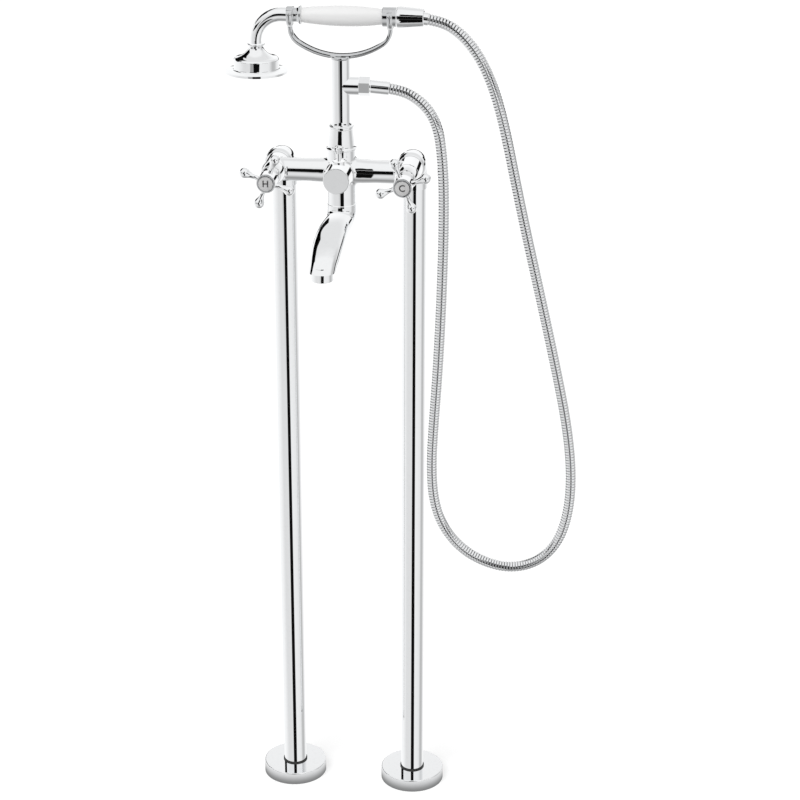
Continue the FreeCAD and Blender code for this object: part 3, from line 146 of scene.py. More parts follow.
# %% Sockets with operators
class Wire:
    """An output socket that can be used in sums."""

    def __init__(self, tree, socket):
        self.tree = tree
        self.socket = socket

    def maths(self, operation, *others):
        node = self.tree.nodes.new("ShaderNodeMath")
        node.operation = operation
        for place, value in enumerate((self, *others)):
            plug_in(self.tree, node.inputs[place], value)
        return Wire(self.tree, node.outputs[0])

    def __add__(self, other):
        return self.maths("ADD", other)

    def __sub__(self, other):
        return self.maths("SUBTRACT", other)

    def __mul__(self, other):
        return self.maths("MULTIPLY", other)

    def __truediv__(self, other):
        return self.maths("DIVIDE", other)

    def __rsub__(self, other):
        return self.maths("MULTIPLY", -1.0).maths("ADD", other)

    __radd__ = __add__
    __rmul__ = __mul__

    def rises(self, start, end):
        """0 before start, 1 after end, smooth between."""
        node = self.tree.nodes.new("ShaderNodeMapRange")
        node.interpolation_type = "SMOOTHSTEP"
        plug_in(self.tree, node.inputs["Value"], self)
        node.inputs["From Min"].default_value = start
        node.inputs["From Max"].default_value = end
        return Wire(self.tree, node.outputs["Result"])

    def between(self, low, high, soft):
        """1 from low to high, 0 outside, with soft edges."""
        return self.rises(low - soft, low + soft) * (1 - self.rises(high - soft, high + soft))


def plug_in(tree, socket, value):
    """A link where the value is a wire, and otherwise the socket's own value."""
    if isinstance(value, Wire):
        tree.links.new(value.socket, socket)
    else:
        socket.default_value = value


print("a wire can:", ", ".join(name for name in vars(Wire) if not name.startswith("_")))


# %% Trees with one way to add a node
class Shader:
    """A material's or the world's tree, emptied, with one way to add a node."""

    def __init__(self, owner, target):
        owner.use_nodes = True
        self.tree = owner.node_tree
        self.tree.nodes.clear()
        self.target = self.tree.nodes.new(target)

    def node(self, kind, output=0, settings=(), **values):
        made = self.tree.nodes.new(kind)
        for name, value in dict(settings).items():
            setattr(made, name, value)
        for name, value in values.items():
            plug_in(self.tree, made.inputs[name.replace("_", " ")], value)
        return Wire(self.tree, made.outputs[output])

    def finish(self, surface):
        plug_in(self.tree, self.target.inputs["Surface"], surface)


def parts_of(shader, vector):
    """The three numbers of a vector wire."""
    node = shader.tree.nodes.new("ShaderNodeSeparateXYZ")
    plug_in(shader.tree, node.inputs[0], vector)
    return [Wire(shader.tree, socket) for socket in node.outputs]


print("a shader can:", ", ".join(name for name in vars(Shader) if not name.startswith("_")))


# %% [markdown]
# ## Something to reflect
# Chrome has no colour of its own, so its look is the room's. Product
# pictures are taken in a white tent with one dark gap in front: the gap
# draws the crisp black line down each tube, and the tent's walls, brighter
# behind and greyer at the sides, shade the rest. The world is that tent.
# Only glossy rays see the gap. The camera sees plain white, and what isn't a
# mirror gets an even light.

# %% The tent's measures
DARK_GAPS = (                   # degrees: left, right, bottom, top
    (-5, 25, -50, -9),          # the line down each upright tube
    (-24, 12, -9, 22),          # the band along each level tube
    (-5, 22, 24, 42),           # the same line, mirrored twice in the flanges
    (-162.5, -98, 15, 36),      # the line down the spout's left side
    (-146, -98, 15, 47),
    (118, 180, -6, 4),          # the thin dark edges of all that is round
    (-180, -150, -6, 4),
    (38, 70, 2, 13),            # dark accents on the balls and collars
    (-80, -42, 2, 14),
)
GAP_SOFT = 0.8
TENT_WALL = (                   # degrees to the right of the front, brightness
    (-180, 1.05), (-138, 1.05), (-96, 0.97), (-70, 0.85), (-55, 0.78), (-18, 0.78),
    (27, 0.92), (50, 0.90), (78, 0.86), (98, 0.52), (116, 0.56), (134, 0.88), (160, 1.00),
    (180, 1.05),
)
ROOF = 0.96
ROOF_EDGE = (16, 45)            # where the wall turns into the roof, degrees
ROOF_DIP = 0.14                 # how much darker the roof is towards the back
GREY_PATCHES = (                # left, right, bottom, top, soft across, soft up, how dark
    (-18, -4, -20, -9, 3, 3, 0.16),
    (-22, -4, -14.6, -9.5, 1, 0.6, 0.42),
)
NADIR_EDGE = (-80, -36)         # the dimmer ground, straight below
NADIR_SHADE = 0.6
GAP_BLACK = 0.995
ROOM_LIGHT = 0.63               # what the tent gives to all that isn't a mirror
DEGREE = math.pi / 180
WHITE = (1, 1, 1, 1)
print(f"{len(DARK_GAPS)} dark gaps, {len(GREY_PATCHES)} grey patches")


# %% World
def make_world():
    world = bpy.data.worlds.new("white tent")
    bpy.context.scene.world = world
    shader = Shader(world, "ShaderNodeOutputWorld")
    across, along, up = parts_of(shader, shader.node("ShaderNodeTexCoord"))
    azimuth = across.maths("ARCTAN2", along * -1) / DEGREE
    height = up.maths("ARCSINE") / DEGREE
    ramp = shader.tree.nodes.new("ShaderNodeValToRGB")
    stops = ramp.color_ramp.elements
    for number, (angle, value) in enumerate(TENT_WALL):
        place = (angle + 180) / 360
        stop = stops[number] if number < 2 else stops.new(place)
        stop.position = place
        stop.color = (value, value, value, 1)
    plug_in(shader.tree, ramp.inputs[0], (azimuth + 180) / 360)
    wall = Wire(shader.tree, ramp.outputs[0])
    roof = height.rises(*ROOF_EDGE)
    tent = wall * (1 - roof) + roof * (ROOF - along.rises(0.05, 0.4) * ROOF_DIP)
    seen = tent
    for left, right, bottom, top, soft_across, soft_up, dark in GREY_PATCHES:
        patch = azimuth.between(left, right, soft_across) * height.between(bottom, top, soft_up)
        seen = seen * (1 - patch * dark)
    seen = seen * (1 - (1 - height.rises(*NADIR_EDGE)) * NADIR_SHADE)
    for left, right, bottom, top in DARK_GAPS:
        gap = azimuth.between(left, right, GAP_SOFT) * height.between(bottom, top, GAP_SOFT)
        seen = seen * (1 - gap * GAP_BLACK)
    glossy = shader.node("ShaderNodeLightPath", "Is Glossy Ray")
    camera_ray = shader.node("ShaderNodeLightPath", "Is Camera Ray")
    strength = glossy * seen + (1 - glossy) * (camera_ray + (1 - camera_ray) * ROOM_LIGHT)
    shader.finish(shader.node("ShaderNodeBackground", Color=WHITE, Strength=strength))
    return shader


tent_shader = make_world()
print(f"world: a white tent of {len(tent_shader.tree.nodes)} nodes")


# %% [markdown]
# ## Floor and lamp
# A large matt floor takes the soft shadow of the feet. One wide sun from the
# upper left gives the white grip its shape. Glossy rays pass through the
# floor unless they are very short: there the floor glows, dimmer at the foot
# as painted shade, so the flanges' sides mirror a painted reflection, and the
# black line still runs down the pipes to their ends, as in the picture.

# %% The floor
FLOOR_HALF = 30
FLOOR_GREY = (0.70, 0.70, 0.70, 1)
FLOOR_LIFT = 0.46               # for the camera only, up to plain white
NEAR_FLOOR = 0.032              # how far the flanges' mirrored floor reaches
PAINTED_FLOOR_GLOW = (0.24, 0.56)   # painted glow seen in mirrors: its brightness at the foot, as painted shade, and what it gains


def joined(shader, kind, *values):
    """A node whose sockets are filled in order, such as a Mix or Add Shader."""
    node = shader.tree.nodes.new(kind)
    for place, value in enumerate(values):
        plug_in(shader.tree, node.inputs[place], value)
    return Wire(shader.tree, node.outputs[0])


def floor_material():
    material = bpy.data.materials.new("studio floor")
    shader = Shader(material, "ShaderNodeOutputMaterial")
    reach = shader.node("ShaderNodeLightPath", "Ray Length")
    foot, gain = PAINTED_FLOOR_GLOW
    # painted reflection: the floor glows in mirrors, with painted shade near the foot
    painted_glow = reach.rises(0, NEAR_FLOOR) * gain + foot
    matt = shader.node("ShaderNodeBsdfDiffuse", Color=FLOOR_GREY)
    camera_ray = shader.node("ShaderNodeLightPath", "Is Camera Ray")
    lift = shader.node("ShaderNodeEmission", Color=WHITE, Strength=camera_ray * FLOOR_LIFT)
    seen = joined(shader, "ShaderNodeAddShader", matt, lift)
    mirrored = shader.node("ShaderNodeEmission", Color=WHITE, Strength=painted_glow)
    clear = shader.node("ShaderNodeBsdfTransparent")
    past = reach.rises(NEAR_FLOOR * 0.96, NEAR_FLOOR)
    in_mirror = joined(shader, "ShaderNodeMixShader", past, mirrored, clear)
    glossy = shader.node("ShaderNodeLightPath", "Is Glossy Ray")
    shader.finish(joined(shader, "ShaderNodeMixShader", glossy, seen, in_mirror))
    return material


def make_floor():
    mesh = bpy.data.meshes.new("floor")
    half = FLOOR_HALF
    corners = [(-half, -half, 0), (half, -half, 0), (half, half, 0), (-half, half, 0)]
    mesh.from_pydata(corners, [], [(0, 1, 2, 3)])
    floor = bpy.data.objects.new("floor", mesh)
    floor.data.materials.append(floor_material())
    bpy.context.scene.collection.objects.link(floor)


make_floor()
print(f"floor: {2 * FLOOR_HALF} m wide")


# %% The soft sun
SUN_STRENGTH = 1.15
SUN_WIDTH = 35                  # degrees
SUN_TURN = (38, -24, 0)         # degrees


def make_sun():
    data = bpy.data.lights.new("soft sun", "SUN")
    data.energy = SUN_STRENGTH
    data.angle = math.radians(SUN_WIDTH)
    sun = bpy.data.objects.new("soft sun", data)
    sun.visible_glossy = False      # its disc would make white blobs on the chrome
    sun.rotation_euler = [math.radians(angle) for angle in SUN_TURN]
    bpy.context.scene.collection.objects.link(sun)


make_sun()
print(f"sun: strength {SUN_STRENGTH}, {SUN_WIDTH} degrees wide")


# %% [markdown]
# ## Chrome
# Plated brass is polished, not perfect: the plate follows tiny waves left by
# the polishing wheel, and dries with faint marks. A slow, weak bump bends the
# reflections a little, and a fine noise lifts the roughness here and there.
# A few pieces get a darker chrome instead, which is painted shade and painted
# reflection: it stands for the dark neighbours that they mirror.

# %% Helpers for a finish
def principled(name, **values):
    """A material with one Principled shader, and the tree to add to it."""
    material = bpy.data.materials.new(name)
    shader = Shader(material, "ShaderNodeOutputMaterial")
    bsdf = shader.tree.nodes.new("ShaderNodeBsdfPrincipled")
    for key, value in values.items():
        bsdf.inputs[key.replace("_", " ")].default_value = value
    shader.finish(Wire(shader.tree, bsdf.outputs[0]))
    return material, shader, bsdf


def noise(shader, scale, detail=3.0, rough=0.55):
    spot = shader.node("ShaderNodeTexCoord", "Object")
    return shader.node(
        "ShaderNodeTexNoise", Vector=spot, Scale=scale, Detail=detail, Roughness=rough)


def mixed(shader, share, first, second):
    """A colour between two colours."""
    node = shader.tree.nodes.new("ShaderNodeMix")
    node.data_type = "RGBA"
    for place, value in ((0, share), (6, first), (7, second)):
        plug_in(shader.tree, node.inputs[place], value)
    return Wire(shader.tree, node.outputs[2])


def bumped(shader, bsdf, height, strength, distance):
    bump = shader.node("ShaderNodeBump", Height=height, Strength=strength, Distance=distance)
    plug_in(shader.tree, bsdf.inputs["Normal"], bump)


print("a finish starts with:", ", ".join(f.__name__ for f in (principled, noise, mixed, bumped)))


# %% Metals
BUMP_HEIGHT = 0.0002
WAVE_SCALE = 70
MARK_SCALE = 240


def polished_metal(name, dark, light, rough, wave):
    """A bright metal between two shades, with polishing waves and faint marks."""
    material, shader, bsdf = principled(name, Metallic=1.0)
    marks = noise(shader, MARK_SCALE, 4).rises(0.45, 0.75)
    shade_of_metal = mixed(shader, marks, (*light, 1), (*dark, 1))
    plug_in(shader.tree, bsdf.inputs["Base Color"], shade_of_metal)
    plug_in(shader.tree, bsdf.inputs["Roughness"], marks * 0.012 + rough)
    bumped(shader, bsdf, noise(shader, WAVE_SCALE, 1.0), wave, BUMP_HEIGHT)
    return material


CHROME = polished_metal("bright chrome", (0.90, 0.91, 0.92), (0.92, 0.93, 0.94), 0.015, 0.004)
# painted shade: darker copies of the bright chrome, for pieces that mirror dark neighbours
PAINTED_SHADE_CHROME = polished_metal(
    "chrome with painted groove shade", (0.34, 0.35, 0.36), (0.40, 0.41, 0.42), 0.06, 0.01)
PAINTED_HALF_SHADE_CHROME = polished_metal("chrome with painted half shade", (0.58, 0.59, 0.60), (0.64, 0.65, 0.66), 0.03, 0.006)
BRASS = polished_metal("turned brass", (0.66, 0.48, 0.22), (0.80, 0.62, 0.33), 0.22, 0.3)
STEEL = polished_metal("plain steel", (0.50, 0.50, 0.51), (0.64, 0.64, 0.65), 0.28, 0.3)
print(f"{len(bpy.data.materials)} materials so far")


# %% [markdown]
# ## The other finishes
# The grip is glazed porcelain: a white body under a clear glassy coat. The
# index discs are enamel, the seals black rubber, the sieve moulded plastic
# and the valve discs lapped ceramic.

# %% Porcelain, enamel, rubber, plastic, ceramic
def coated(name, dark, light, rough, coat, scale):
    """A plain body under a clear coat, with soft clouds in its colour."""
    material, shader, bsdf = principled(name, Coat_Weight=coat, Coat_Roughness=0.12)
    clouds = mixed(shader, noise(shader, scale), (*dark, 1), (*light, 1))
    plug_in(shader.tree, bsdf.inputs["Base Color"], clouds)
    plug_in(shader.tree, bsdf.inputs["Roughness"], noise(shader, scale * 9) * 0.1 + rough)
    bumped(shader, bsdf, noise(shader, scale * 2, 1), 0.01, BUMP_HEIGHT)
    return material


PORCELAIN = coated("glazed porcelain", (0.90, 0.90, 0.90), (0.93, 0.93, 0.93), 0.34, 0.35, 9)
ENAMEL = coated("white enamel", (0.60, 0.60, 0.60), (0.68, 0.68, 0.68), 0.25, 0.7, 120)
RUBBER = coated("black rubber", (0.012, 0.012, 0.012), (0.03, 0.03, 0.03), 0.55, 0.0, 400)
PLASTIC = coated("moulded plastic", (0.70, 0.70, 0.71), (0.78, 0.78, 0.79), 0.40, 0.0, 300)
CERAMIC = coated("lapped ceramic", (0.82, 0.81, 0.77), (0.87, 0.86, 0.83), 0.30, 0.3, 200)
INK = coated("black letters", (0.008, 0.008, 0.008), (0.02, 0.02, 0.02), 0.30, 0.3, 500)

FINISHES = {
    "chrome": CHROME, "brass": BRASS, "steel": STEEL, "porcelain": PORCELAIN,
    "index_white": ENAMEL, "rubber": RUBBER, "plastic": PLASTIC, "ceramic": CERAMIC,
    "hose_steel": CHROME,
}
SLOT_OF = {part["node"]: part["material_slot"] for part in frame["record"]["subparts"]}
print(f"{len(FINISHES)} finishes for {len(set(SLOT_OF.values()))} slots")


# %% [markdown]
# ## Smooth shapes for a mirror
# The packed model is made of loose triangles. A mirror shows every facet, so
# each plated piece is copied, its corners are merged, and its normals are
# made to flow over the curved faces and stop at the real edges. The copy
# replaces the node and stays exactly where it is. Only the pipes and their
# seals show in other pieces' reflections, which keeps those calm.

# %% Helpers for a mesh
EDGE_ANGLE = math.radians(32)


def link(mesh, name, material):
    mesh.materials.clear()
    mesh.materials.append(material)
    piece = bpy.data.objects.new(name, mesh)
    bpy.context.scene.collection.objects.link(piece)
    return piece


def applied(piece):
    """The piece with its modifiers made part of its mesh."""
    ready = piece.evaluated_get(bpy.context.evaluated_depsgraph_get())
    mesh = bpy.data.meshes.new_from_object(ready)
    old = piece.data
    piece.modifiers.clear()
    piece.data = mesh
    bpy.data.meshes.remove(old)
    return piece


def shade(mesh, angle=EDGE_ANGLE):
    """Smooth faces, with the edges sharper than the angle kept."""
    work = bmesh.new()
    work.from_mesh(mesh)
    for face in work.faces:
        face.smooth = True
    for edge in work.edges:
        edge.smooth = len(edge.link_faces) == 2 and edge.calc_face_angle(0) < angle
    work.to_mesh(mesh)
    work.free()


print(f"edges sharper than {math.degrees(EDGE_ANGLE):.0f} degrees stay")


# %% Standing for a node
MIRRORED = ("standpipe", "pipe_seal")


def stand_for(piece, node):
    """Makes a finished piece take the place of its node."""
    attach(piece, NODES[node]["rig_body"])
    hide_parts(node)
    piece.visible_glossy = node.endswith(MIRRORED)
    return piece


print("seen in mirrors:", ", ".join(node for node in NODES if node.endswith(MIRRORED)))


# %% Polished copies
FLANGE_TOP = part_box("left_floor_flange")[1].z
SEAL_LIP = 0.0014
MERGE = 2e-6
SLIVER = 1e-7
SOFT_EDGES = {"cradle_fork": math.radians(110)}     # a flat strap that looks round
PAINTED_SHADE_FINISHES = {                    # pieces with a darker chrome as painted shade, for the dark neighbours they mirror
    "hot_index_bezel": PAINTED_SHADE_CHROME, "cold_index_bezel": PAINTED_SHADE_CHROME,
    "cradle_fork": PAINTED_HALF_SHADE_CHROME, "front_ferrule": PAINTED_HALF_SHADE_CHROME, "rear_ferrule": PAINTED_HALF_SHADE_CHROME,
}
SPECIAL = {"shower_hose", "spout", "diverter_knob"}     # drawn anew further down


def press_seal(work):
    """The seal squeezed down into its flange, so that just its lip shows."""
    for vertex in work.verts:
        vertex.co.z = min(vertex.co.z, FLANGE_TOP + SEAL_LIP)


def polished(node):
    """A merged, smoothly shaded copy that stands for a node."""
    mesh = NODES[node].data.copy()
    work = bmesh.new()
    work.from_mesh(mesh)
    bmesh.ops.remove_doubles(work, verts=work.verts, dist=MERGE)
    bmesh.ops.dissolve_degenerate(work, edges=work.edges, dist=SLIVER)
    if node.endswith("pipe_seal"):
        press_seal(work)
    work.to_mesh(mesh)
    work.free()
    for layer in list(mesh.attributes):
        if layer.name == "custom_normal":
            mesh.attributes.remove(layer)
    shade(mesh, SOFT_EDGES.get(node, EDGE_ANGLE))
    piece = link(mesh, f"{node}_finished", PAINTED_SHADE_FINISHES.get(node, FINISHES[SLOT_OF[node]]))
    if node not in SOFT_EDGES:
        weighted = piece.modifiers.new("weighted", "WEIGHTED_NORMAL")
        weighted.keep_sharp = True
        weighted.weight = 90
        applied(piece)
    return stand_for(piece, node)


finished = {node: polished(node) for node in NODES if node not in SPECIAL}
print(f"{len(finished)} pieces polished")


# %% [markdown]
# ## The spout
# The spout is the broadest mirror of the whole tap, and its black line shows
# every flaw. So it is drawn anew, as one skin through a row of rounded
# outlines: straight down the barrel, round a tight bend, forward along the
# arm and over the nose. Each outline is a superellipse, which is a circle at
# the barrel and flatter on its top along the arm.

# %% The spout's measures
SPOUT_TURN = math.radians(-4)
SPOUT_PLACE = Matrix.Translation((0, -0.060, 0.7935)) @ Matrix.Rotation(SPOUT_TURN, 4, "Z")
BARREL = 0.0167                 # radii of the barrel and of the spigot in its top
SPIGOT = 0.012
BARREL_EDGE = 0.0003
SPIGOT_TOP = 0.0137
BEND_INNER = 0.002
BEND_CENTRE = (-0.0187, -0.0052)    # along (forward is negative), up
BEND_END = (0.0160, 0.0122, 12)     # half width, half height and tilt where the arm starts
SPOUT_ARM = (                   # sideways, along, up, tilt, half width, half height, squareness
    (-0.0010, -0.0340, -0.0204, 13, 0.0164, 0.0124, 2.4),
    (-0.0014, -0.0497, -0.0236, 17, 0.0170, 0.0127, 2.5),
    (-0.0013, -0.0660, -0.0286, 24, 0.0172, 0.0128, 2.5),
    (-0.0009, -0.0810, -0.0342, 33, 0.0169, 0.0130, 2.5),
    (-0.0004, -0.0926, -0.0398, 48, 0.0162, 0.0135, 2.4),
    (-0.0001, -0.1002, -0.0434, 74, 0.0154, 0.0146, 2.3),
    (0.0, -0.1080, -0.0485, 90, 0.0150, 0.0157, 2.2),
)
print(f"spout: {len(SPOUT_ARM)} outlines along the arm")


# %% Rounded outlines
SKIN_STEPS = 14
SKIN_SIDES = 96


def outline(aside, ahead, up, tilt, half_wide, half_high, power):
    """One closed outline, square to the spout's line."""
    lean = math.radians(tilt)
    centre = np.array((aside, ahead, up))
    across = np.array((1.0, 0.0, 0.0))
    over = np.array((0.0, -math.sin(lean), math.cos(lean)))
    turn = np.linspace(0, 2 * math.pi, SKIN_SIDES, endpoint=False)
    wide = np.sign(np.sin(turn)) * np.abs(np.sin(turn)) ** (2 / power) * half_wide
    high = np.sign(np.cos(turn)) * np.abs(np.cos(turn)) ** (2 / power) * half_high
    return centre + np.outer(wide, across) + np.outer(high, over)


def bend_row(tilt):
    """The row of numbers of an outline in the bend below the barrel."""
    end_wide, end_high, end_tilt = BEND_END
    share = (90 - tilt) / (90 - end_tilt)
    ease = share * share * (3 - 2 * share)
    half = BARREL + (end_high - BARREL) * ease
    wide = BARREL + (end_wide - BARREL) * ease
    lean = math.radians(tilt)
    away = BEND_INNER + half
    ahead = BEND_CENTRE[0] + math.sin(lean) * away
    up = BEND_CENTRE[1] - math.cos(lean) * away
    return (-0.0004 * ease, ahead, up, tilt, wide, half, 2 + 0.4 * ease)


def smooth_rows(rows):
    """A smooth row of numbers through the given ones."""
    rows = np.array(rows)
    padded = np.vstack((2 * rows[0] - rows[1], rows, 2 * rows[-1] - rows[-2]))
    out = []
    for a, b, c, d in zip(padded, padded[1:], padded[2:], padded[3:]):
        for share in np.linspace(0, 1, SKIN_STEPS, endpoint=False):
            out.append(0.5 * (
                2 * b + (c - a) * share + (2 * a - 5 * b + 4 * c - d) * share ** 2
                + (3 * b - a - 3 * c + d) * share ** 3))
    return out + [rows[-1]]


print(f"the bend ends {bend_row(BEND_END[2])[1] * -1000:.1f} mm ahead of the barrel's axis")


# %% A skin over outlines
def skin(outlines, name, material):
    """A closed mesh over a row of outlines with as many points each."""
    sides = len(outlines[0])
    points = np.vstack(outlines)
    faces = [
        (row + side, row + (side + 1) % sides, row + sides + (side + 1) % sides, row + sides + side)
        for row in range(0, len(points) - sides, sides) for side in range(sides)
    ]
    faces.append(tuple(reversed(range(sides))))
    faces.append(tuple(range(len(points) - sides, len(points))))
    mesh = bpy.data.meshes.new(name)
    mesh.from_pydata([tuple(point) for point in points], [], faces)
    work = bmesh.new()
    work.from_mesh(mesh)
    bmesh.ops.recalc_face_normals(work, faces=work.faces)
    work.to_mesh(mesh)
    work.free()
    return link(mesh, name, material)


print(f"a skin has {SKIN_SIDES} sides")


# %% The spout
def make_spout():
    rings = [
        (SPIGOT_TOP, SPIGOT), (-BARREL_EDGE, SPIGOT),
        (-BARREL_EDGE, BARREL - BARREL_EDGE), (-2 * BARREL_EDGE, BARREL),
    ]
    rows = [(0, 0, up, 90, radius, radius, 2) for up, radius in rings]
    bend = [bend_row(tilt) for tilt in np.linspace(90, BEND_END[2], 14)]
    arm = smooth_rows([*bend, *SPOUT_ARM])
    piece = skin([outline(*row) for row in (*rows, *arm)], "spout_finished", CHROME)
    piece.data.transform(SPOUT_PLACE)
    shade(piece.data)
    return stand_for(piece, "spout")


finished["spout"] = make_spout()
print(f"spout: {len(finished['spout'].data.polygons)} faces")


# %% [markdown]
# ## The diverter's knob
# The little knob in front of the column is pulled up to send the water to the
# hand shower. It is fluted so that wet fingers can hold it, and stands on a
# narrow neck. The same skin serves: each outline is a circle with shallow
# waves in it.

# %% The fluted knob
KNOB_FLUTES = 6
FLUTE_DEPTH = 0.30              # share of the radius
KNOB_EDGE = math.radians(50)
KNOB_PROFILE = (                # share of the height, share of the radius
    (0.00, 0.45), (0.00, 0.60), (0.20, 0.60), (0.30, 0.82), (0.39, 0.98), (0.66, 1.00),
    (0.78, 0.94), (0.88, 0.78), (0.96, 0.50), (1.00, 0.15),
)


def make_knob(node):
    low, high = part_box(node)
    radius = (high.x - low.x) / 2
    middle = (low + high) / 2
    turn = np.linspace(0, 2 * math.pi, SKIN_SIDES, endpoint=False)
    wave = 1 - FLUTE_DEPTH * (0.5 - 0.5 * np.cos(KNOB_FLUTES * turn))
    outlines = [
        np.column_stack((
            middle.x + np.sin(turn) * wave * radius * wide,
            middle.y - np.cos(turn) * wave * radius * wide,
            np.full(SKIN_SIDES, low.z + (high.z - low.z) * up)))
        for up, wide in KNOB_PROFILE
    ]
    piece = skin(outlines, f"{node}_finished", CHROME)
    shade(piece.data, KNOB_EDGE)
    return stand_for(piece, node)


finished["diverter_knob"] = make_knob("diverter_knob")
print("knob fluted")


# %% [markdown]
# ## Letters on the handles
# Each handle's white disc says which water it lets in. A plain capital is
# enough: it is drawn as text, made a mesh, and laid on the disc.

# %% The letters
LETTER_SIZE = 0.0105
LETTER_THICKNESS = 0.00008
LETTER_BOLDNESS = 0.00012
LETTERS = {"hot_index_disc": "H", "cold_index_disc": "C"}


def mesh_of(curve):
    """A curve or text, made into a plain mesh."""
    holder = bpy.data.objects.new(curve.name, curve)
    bpy.context.scene.collection.objects.link(holder)
    bpy.context.view_layer.update()
    ready = holder.evaluated_get(bpy.context.evaluated_depsgraph_get())
    mesh = bpy.data.meshes.new_from_object(ready)
    bpy.data.objects.remove(holder)
    return mesh


def letter(node, text):
    low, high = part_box(node)
    curve = bpy.data.curves.new(f"letter {text}", "FONT")
    curve.body = text
    curve.size = LETTER_SIZE
    curve.align_x, curve.align_y = "CENTER", "CENTER"
    curve.extrude = LETTER_THICKNESS
    curve.offset = LETTER_BOLDNESS
    mesh = mesh_of(curve)
    middle = (low + high) / 2
    place = Matrix.Translation((middle.x, low.y, middle.z))
    mesh.transform(place @ Matrix.Rotation(math.radians(90), 4, "X"))
    piece = link(mesh, f"letter_{text}", INK)
    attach(piece, NODES[node]["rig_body"])
    return piece


letters = [letter(node, text) for node, text in LETTERS.items()]
print(f"{len(letters)} letters laid on")


# %% [markdown]
# ## The hose
# A shower hose is a strip of steel wound so that each turn hooks into the
# next. It hangs in one loop from the outlet on the riser, nearly down to the
# knee, and up to the hand shower. Its line is a smooth spline through a few
# points. The ribs follow that line: Geometry Nodes walk along it and swell
# the tube once for each turn of the strip.

# %% The hose's line
HOSE_DEPTH = -0.060
HOSE_ROUTE = [                  # (right, up) in metres
    (0.04237, 0.92964), (0.06531, 0.92803), (0.086, 0.9185), (0.102, 0.9025), (0.111, 0.882),
    (0.115, 0.855), (0.1175, 0.820), (0.118, 0.772), (0.117, 0.715), (0.115, 0.6505),
    (0.112, 0.5855), (0.108, 0.5245), (0.1055, 0.4735), (0.1075, 0.432), (0.1155, 0.3995),
    (0.131, 0.3735), (0.153, 0.3535), (0.182, 0.341), (0.208, 0.339), (0.2315, 0.3465),
    (0.250, 0.362), (0.2635, 0.3855), (0.271, 0.416), (0.2735, 0.450), (0.2715, 0.489),
    (0.265, 0.535), (0.254, 0.588), (0.2405, 0.6475), (0.226, 0.709), (0.2115, 0.770),
    (0.199, 0.826), (0.188, 0.877), (0.1775, 0.9175), (0.1655, 0.9495), (0.151, 0.975),
    (0.131, 0.9965), (0.10946, 1.00682), (0.08659, 1.00923),
]
HOSE_DIAMETER = 0.0125
LINE_STEPS = 24


def hose_line():
    """The spline through the route, read back as points close together."""
    curve = bpy.data.curves.new("hose line", "CURVE")
    curve.dimensions = "3D"
    spline = curve.splines.new("NURBS")
    spline.points.add(len(HOSE_ROUTE) - 1)
    for point, (x, z) in zip(spline.points, HOSE_ROUTE):
        point.co = (x, HOSE_DEPTH, z, 1)
    spline.order_u = 3
    spline.use_endpoint_u = True
    spline.resolution_u = LINE_STEPS
    return mesh_of(curve)


hose_mesh = hose_line()
hose_points = [tuple(vertex.co) for vertex in hose_mesh.vertices]
line_length = sum((Vector(b) - Vector(a)).length for a, b in zip(hose_points, hose_points[1:]))
print(f"hose line: {len(hose_points)} points, {line_length:.3f} m")


# %% A Geometry Nodes tree with named inputs
def socket_id(tree, name):
    """The identifier of a tree's named input."""
    return next(item.identifier for item in tree.interface.items_tree if item.name == name)


class Nodes:
    """A Geometry Nodes tree with named inputs and one way to add a node."""

    def __init__(self, name, **inputs):
        self.tree = bpy.data.node_groups.new(name, "GeometryNodeTree")
        sockets = self.tree.interface
        sockets.new_socket("Geometry", in_out="INPUT", socket_type="NodeSocketGeometry")
        sockets.new_socket("Geometry", in_out="OUTPUT", socket_type="NodeSocketGeometry")
        for key, value in inputs.items():
            kind = "NodeSocketInt" if isinstance(value, int) else "NodeSocketFloat"
            made = sockets.new_socket(key.replace("_", " "), in_out="INPUT", socket_type=kind)
            made.default_value = value
        self.source = self.tree.nodes.new("NodeGroupInput")
        self.sink = self.tree.nodes.new("NodeGroupOutput")

    def given(self, name):
        return Wire(self.tree, self.source.outputs[name.replace("_", " ")])

    def node(self, kind, output=0, settings=(), **values):
        made = self.tree.nodes.new(kind)
        for name, value in dict(settings).items():
            setattr(made, name, value)
        for name, value in values.items():
            plug_in(self.tree, made.inputs[name.replace("_", " ")], value)
        return Wire(self.tree, made.outputs[output])

    def finish(self, geometry, material):
        real = self.node("GeometryNodeRealizeInstances", Geometry=geometry)
        done = self.node("GeometryNodeSetMaterial", Geometry=real, Material=material)
        self.tree.links.new(done.socket, self.sink.inputs[0])

    def run_on(self, piece, **values):
        modifier = piece.modifiers.new("nodes", "NODES")
        modifier.node_group = self.tree
        for key, value in values.items():
            modifier[socket_id(self.tree, key.replace("_", " "))] = value
        return applied(piece)


print("a nodes tree can:", ", ".join(name for name in vars(Nodes) if not name.startswith("_")))


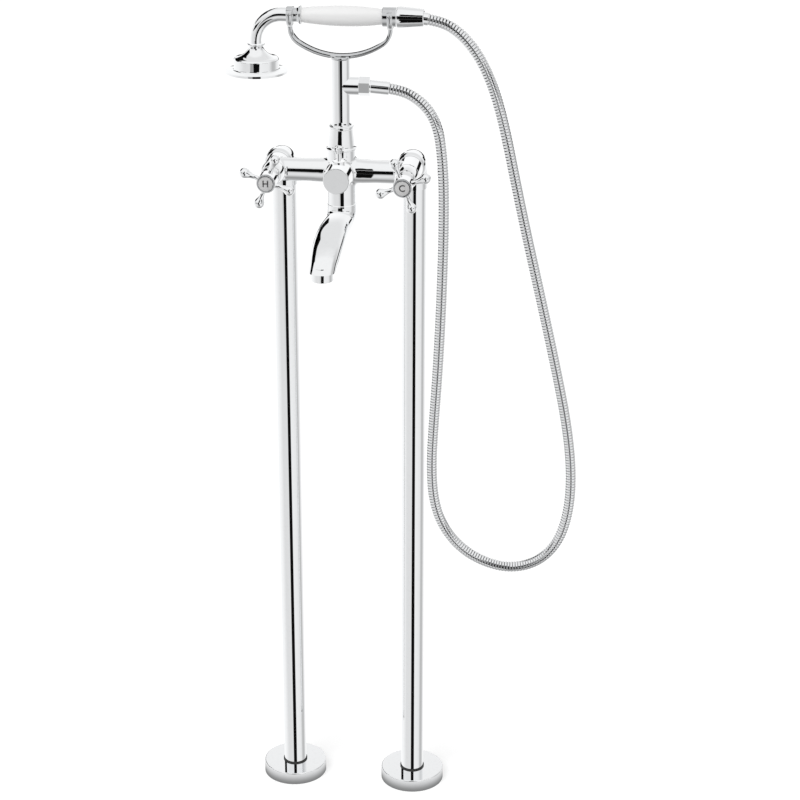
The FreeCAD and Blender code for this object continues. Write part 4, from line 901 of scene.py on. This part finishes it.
# %% The ribbed tube
def ribbed_tree():
    """A tube along a line, swelling once for each rib."""
    nodes = Nodes("ribbed hose", Ribs=400, Rings=4, Sides=14, Crest=0.00625, Groove=0.0052)
    line = nodes.node("GeometryNodeMeshToCurve", Mesh=nodes.given("Geometry"))
    count = nodes.given("Ribs") * nodes.given("Rings") + 1
    even = nodes.node("GeometryNodeResampleCurve", Curve=line, Count=count)
    index = nodes.node("GeometryNodeInputIndex")
    step = index.maths("MODULO", nodes.given("Rings"))
    groove = 1 - step.rises(0, 1)
    radius = nodes.given("Crest") - groove * (nodes.given("Crest") - nodes.given("Groove"))
    marked = nodes.node(
        "GeometryNodeStoreNamedAttribute", 0, {"data_type": "FLOAT", "domain": "POINT"},
        Geometry=even, Name="groove", Value=groove)
    ring = nodes.node(
        "GeometryNodeCurvePrimitiveCircle", Resolution=nodes.given("Sides"), Radius=1.0)
    tube = nodes.node(
        "GeometryNodeCurveToMesh", Curve=marked, Profile_Curve=ring, Scale=radius, Fill_Caps=True)
    return nodes, tube


print("the tube swells once for each rib")


# %% The hose's finish
RIB_COLOUR = (0.86, 0.87, 0.88, 1)
# painted shade: the grooves' dark colour stands for the shade down in them
PAINTED_GROOVE_SHADE = (0.07, 0.07, 0.08, 1)


def hose_finish():
    """Steel with painted shade down in the grooves, which are also duller."""
    material, shader, bsdf = principled("wound steel", Metallic=1.0)
    groove_shade_and_dullness = shader.node("ShaderNodeAttribute", "Fac", {"attribute_name": "groove"})
    colour = mixed(shader, groove_shade_and_dullness, RIB_COLOUR, PAINTED_GROOVE_SHADE)
    plug_in(shader.tree, bsdf.inputs["Base Color"], colour)
    plug_in(shader.tree, bsdf.inputs["Roughness"], groove_shade_and_dullness * 0.25 + noise(shader, 500) * 0.04 + 0.05)
    bumped(shader, bsdf, noise(shader, 300, 1.0), 0.05, BUMP_HEIGHT)
    return material


print(f"grooves: {PAINTED_GROOVE_SHADE[0]} against {RIB_COLOUR[0]} on the ribs")


# %% The hose
RIB_PITCH = 0.0035
GROOVE_DEPTH = 0.0009
RINGS_PER_RIB = 5
HOSE_SIDES = 14
RIB_EDGE = math.radians(40)
HANGING = (0.199, HOSE_DEPTH, 0.826)    # from here up the hose starts to follow
CARRIED = (0.240, HOSE_DEPTH, 0.878)    # and from here it moves with the handset


def make_hose():
    finish = hose_finish()
    nodes, tube = ribbed_tree()
    nodes.finish(tube, finish)
    hose = link(hose_mesh, "shower_hose_ribbed", finish)
    nodes.run_on(
        hose, Ribs=round(line_length / RIB_PITCH), Rings=RINGS_PER_RIB, Sides=HOSE_SIDES,
        Crest=HOSE_DIAMETER / 2, Groove=HOSE_DIAMETER / 2 - GROOVE_DEPTH)
    shade(hose.data, RIB_EDGE)
    hose.visible_glossy = False
    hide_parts("shower_hose")
    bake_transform(hose, "root", "handset", start=HANGING, end=CARRIED)
    return hose


hose = make_hose()
print(f"hose: {len(hose.data.polygons)} faces")


# %% [markdown]
# ## The end

# %% The end
print("the end")
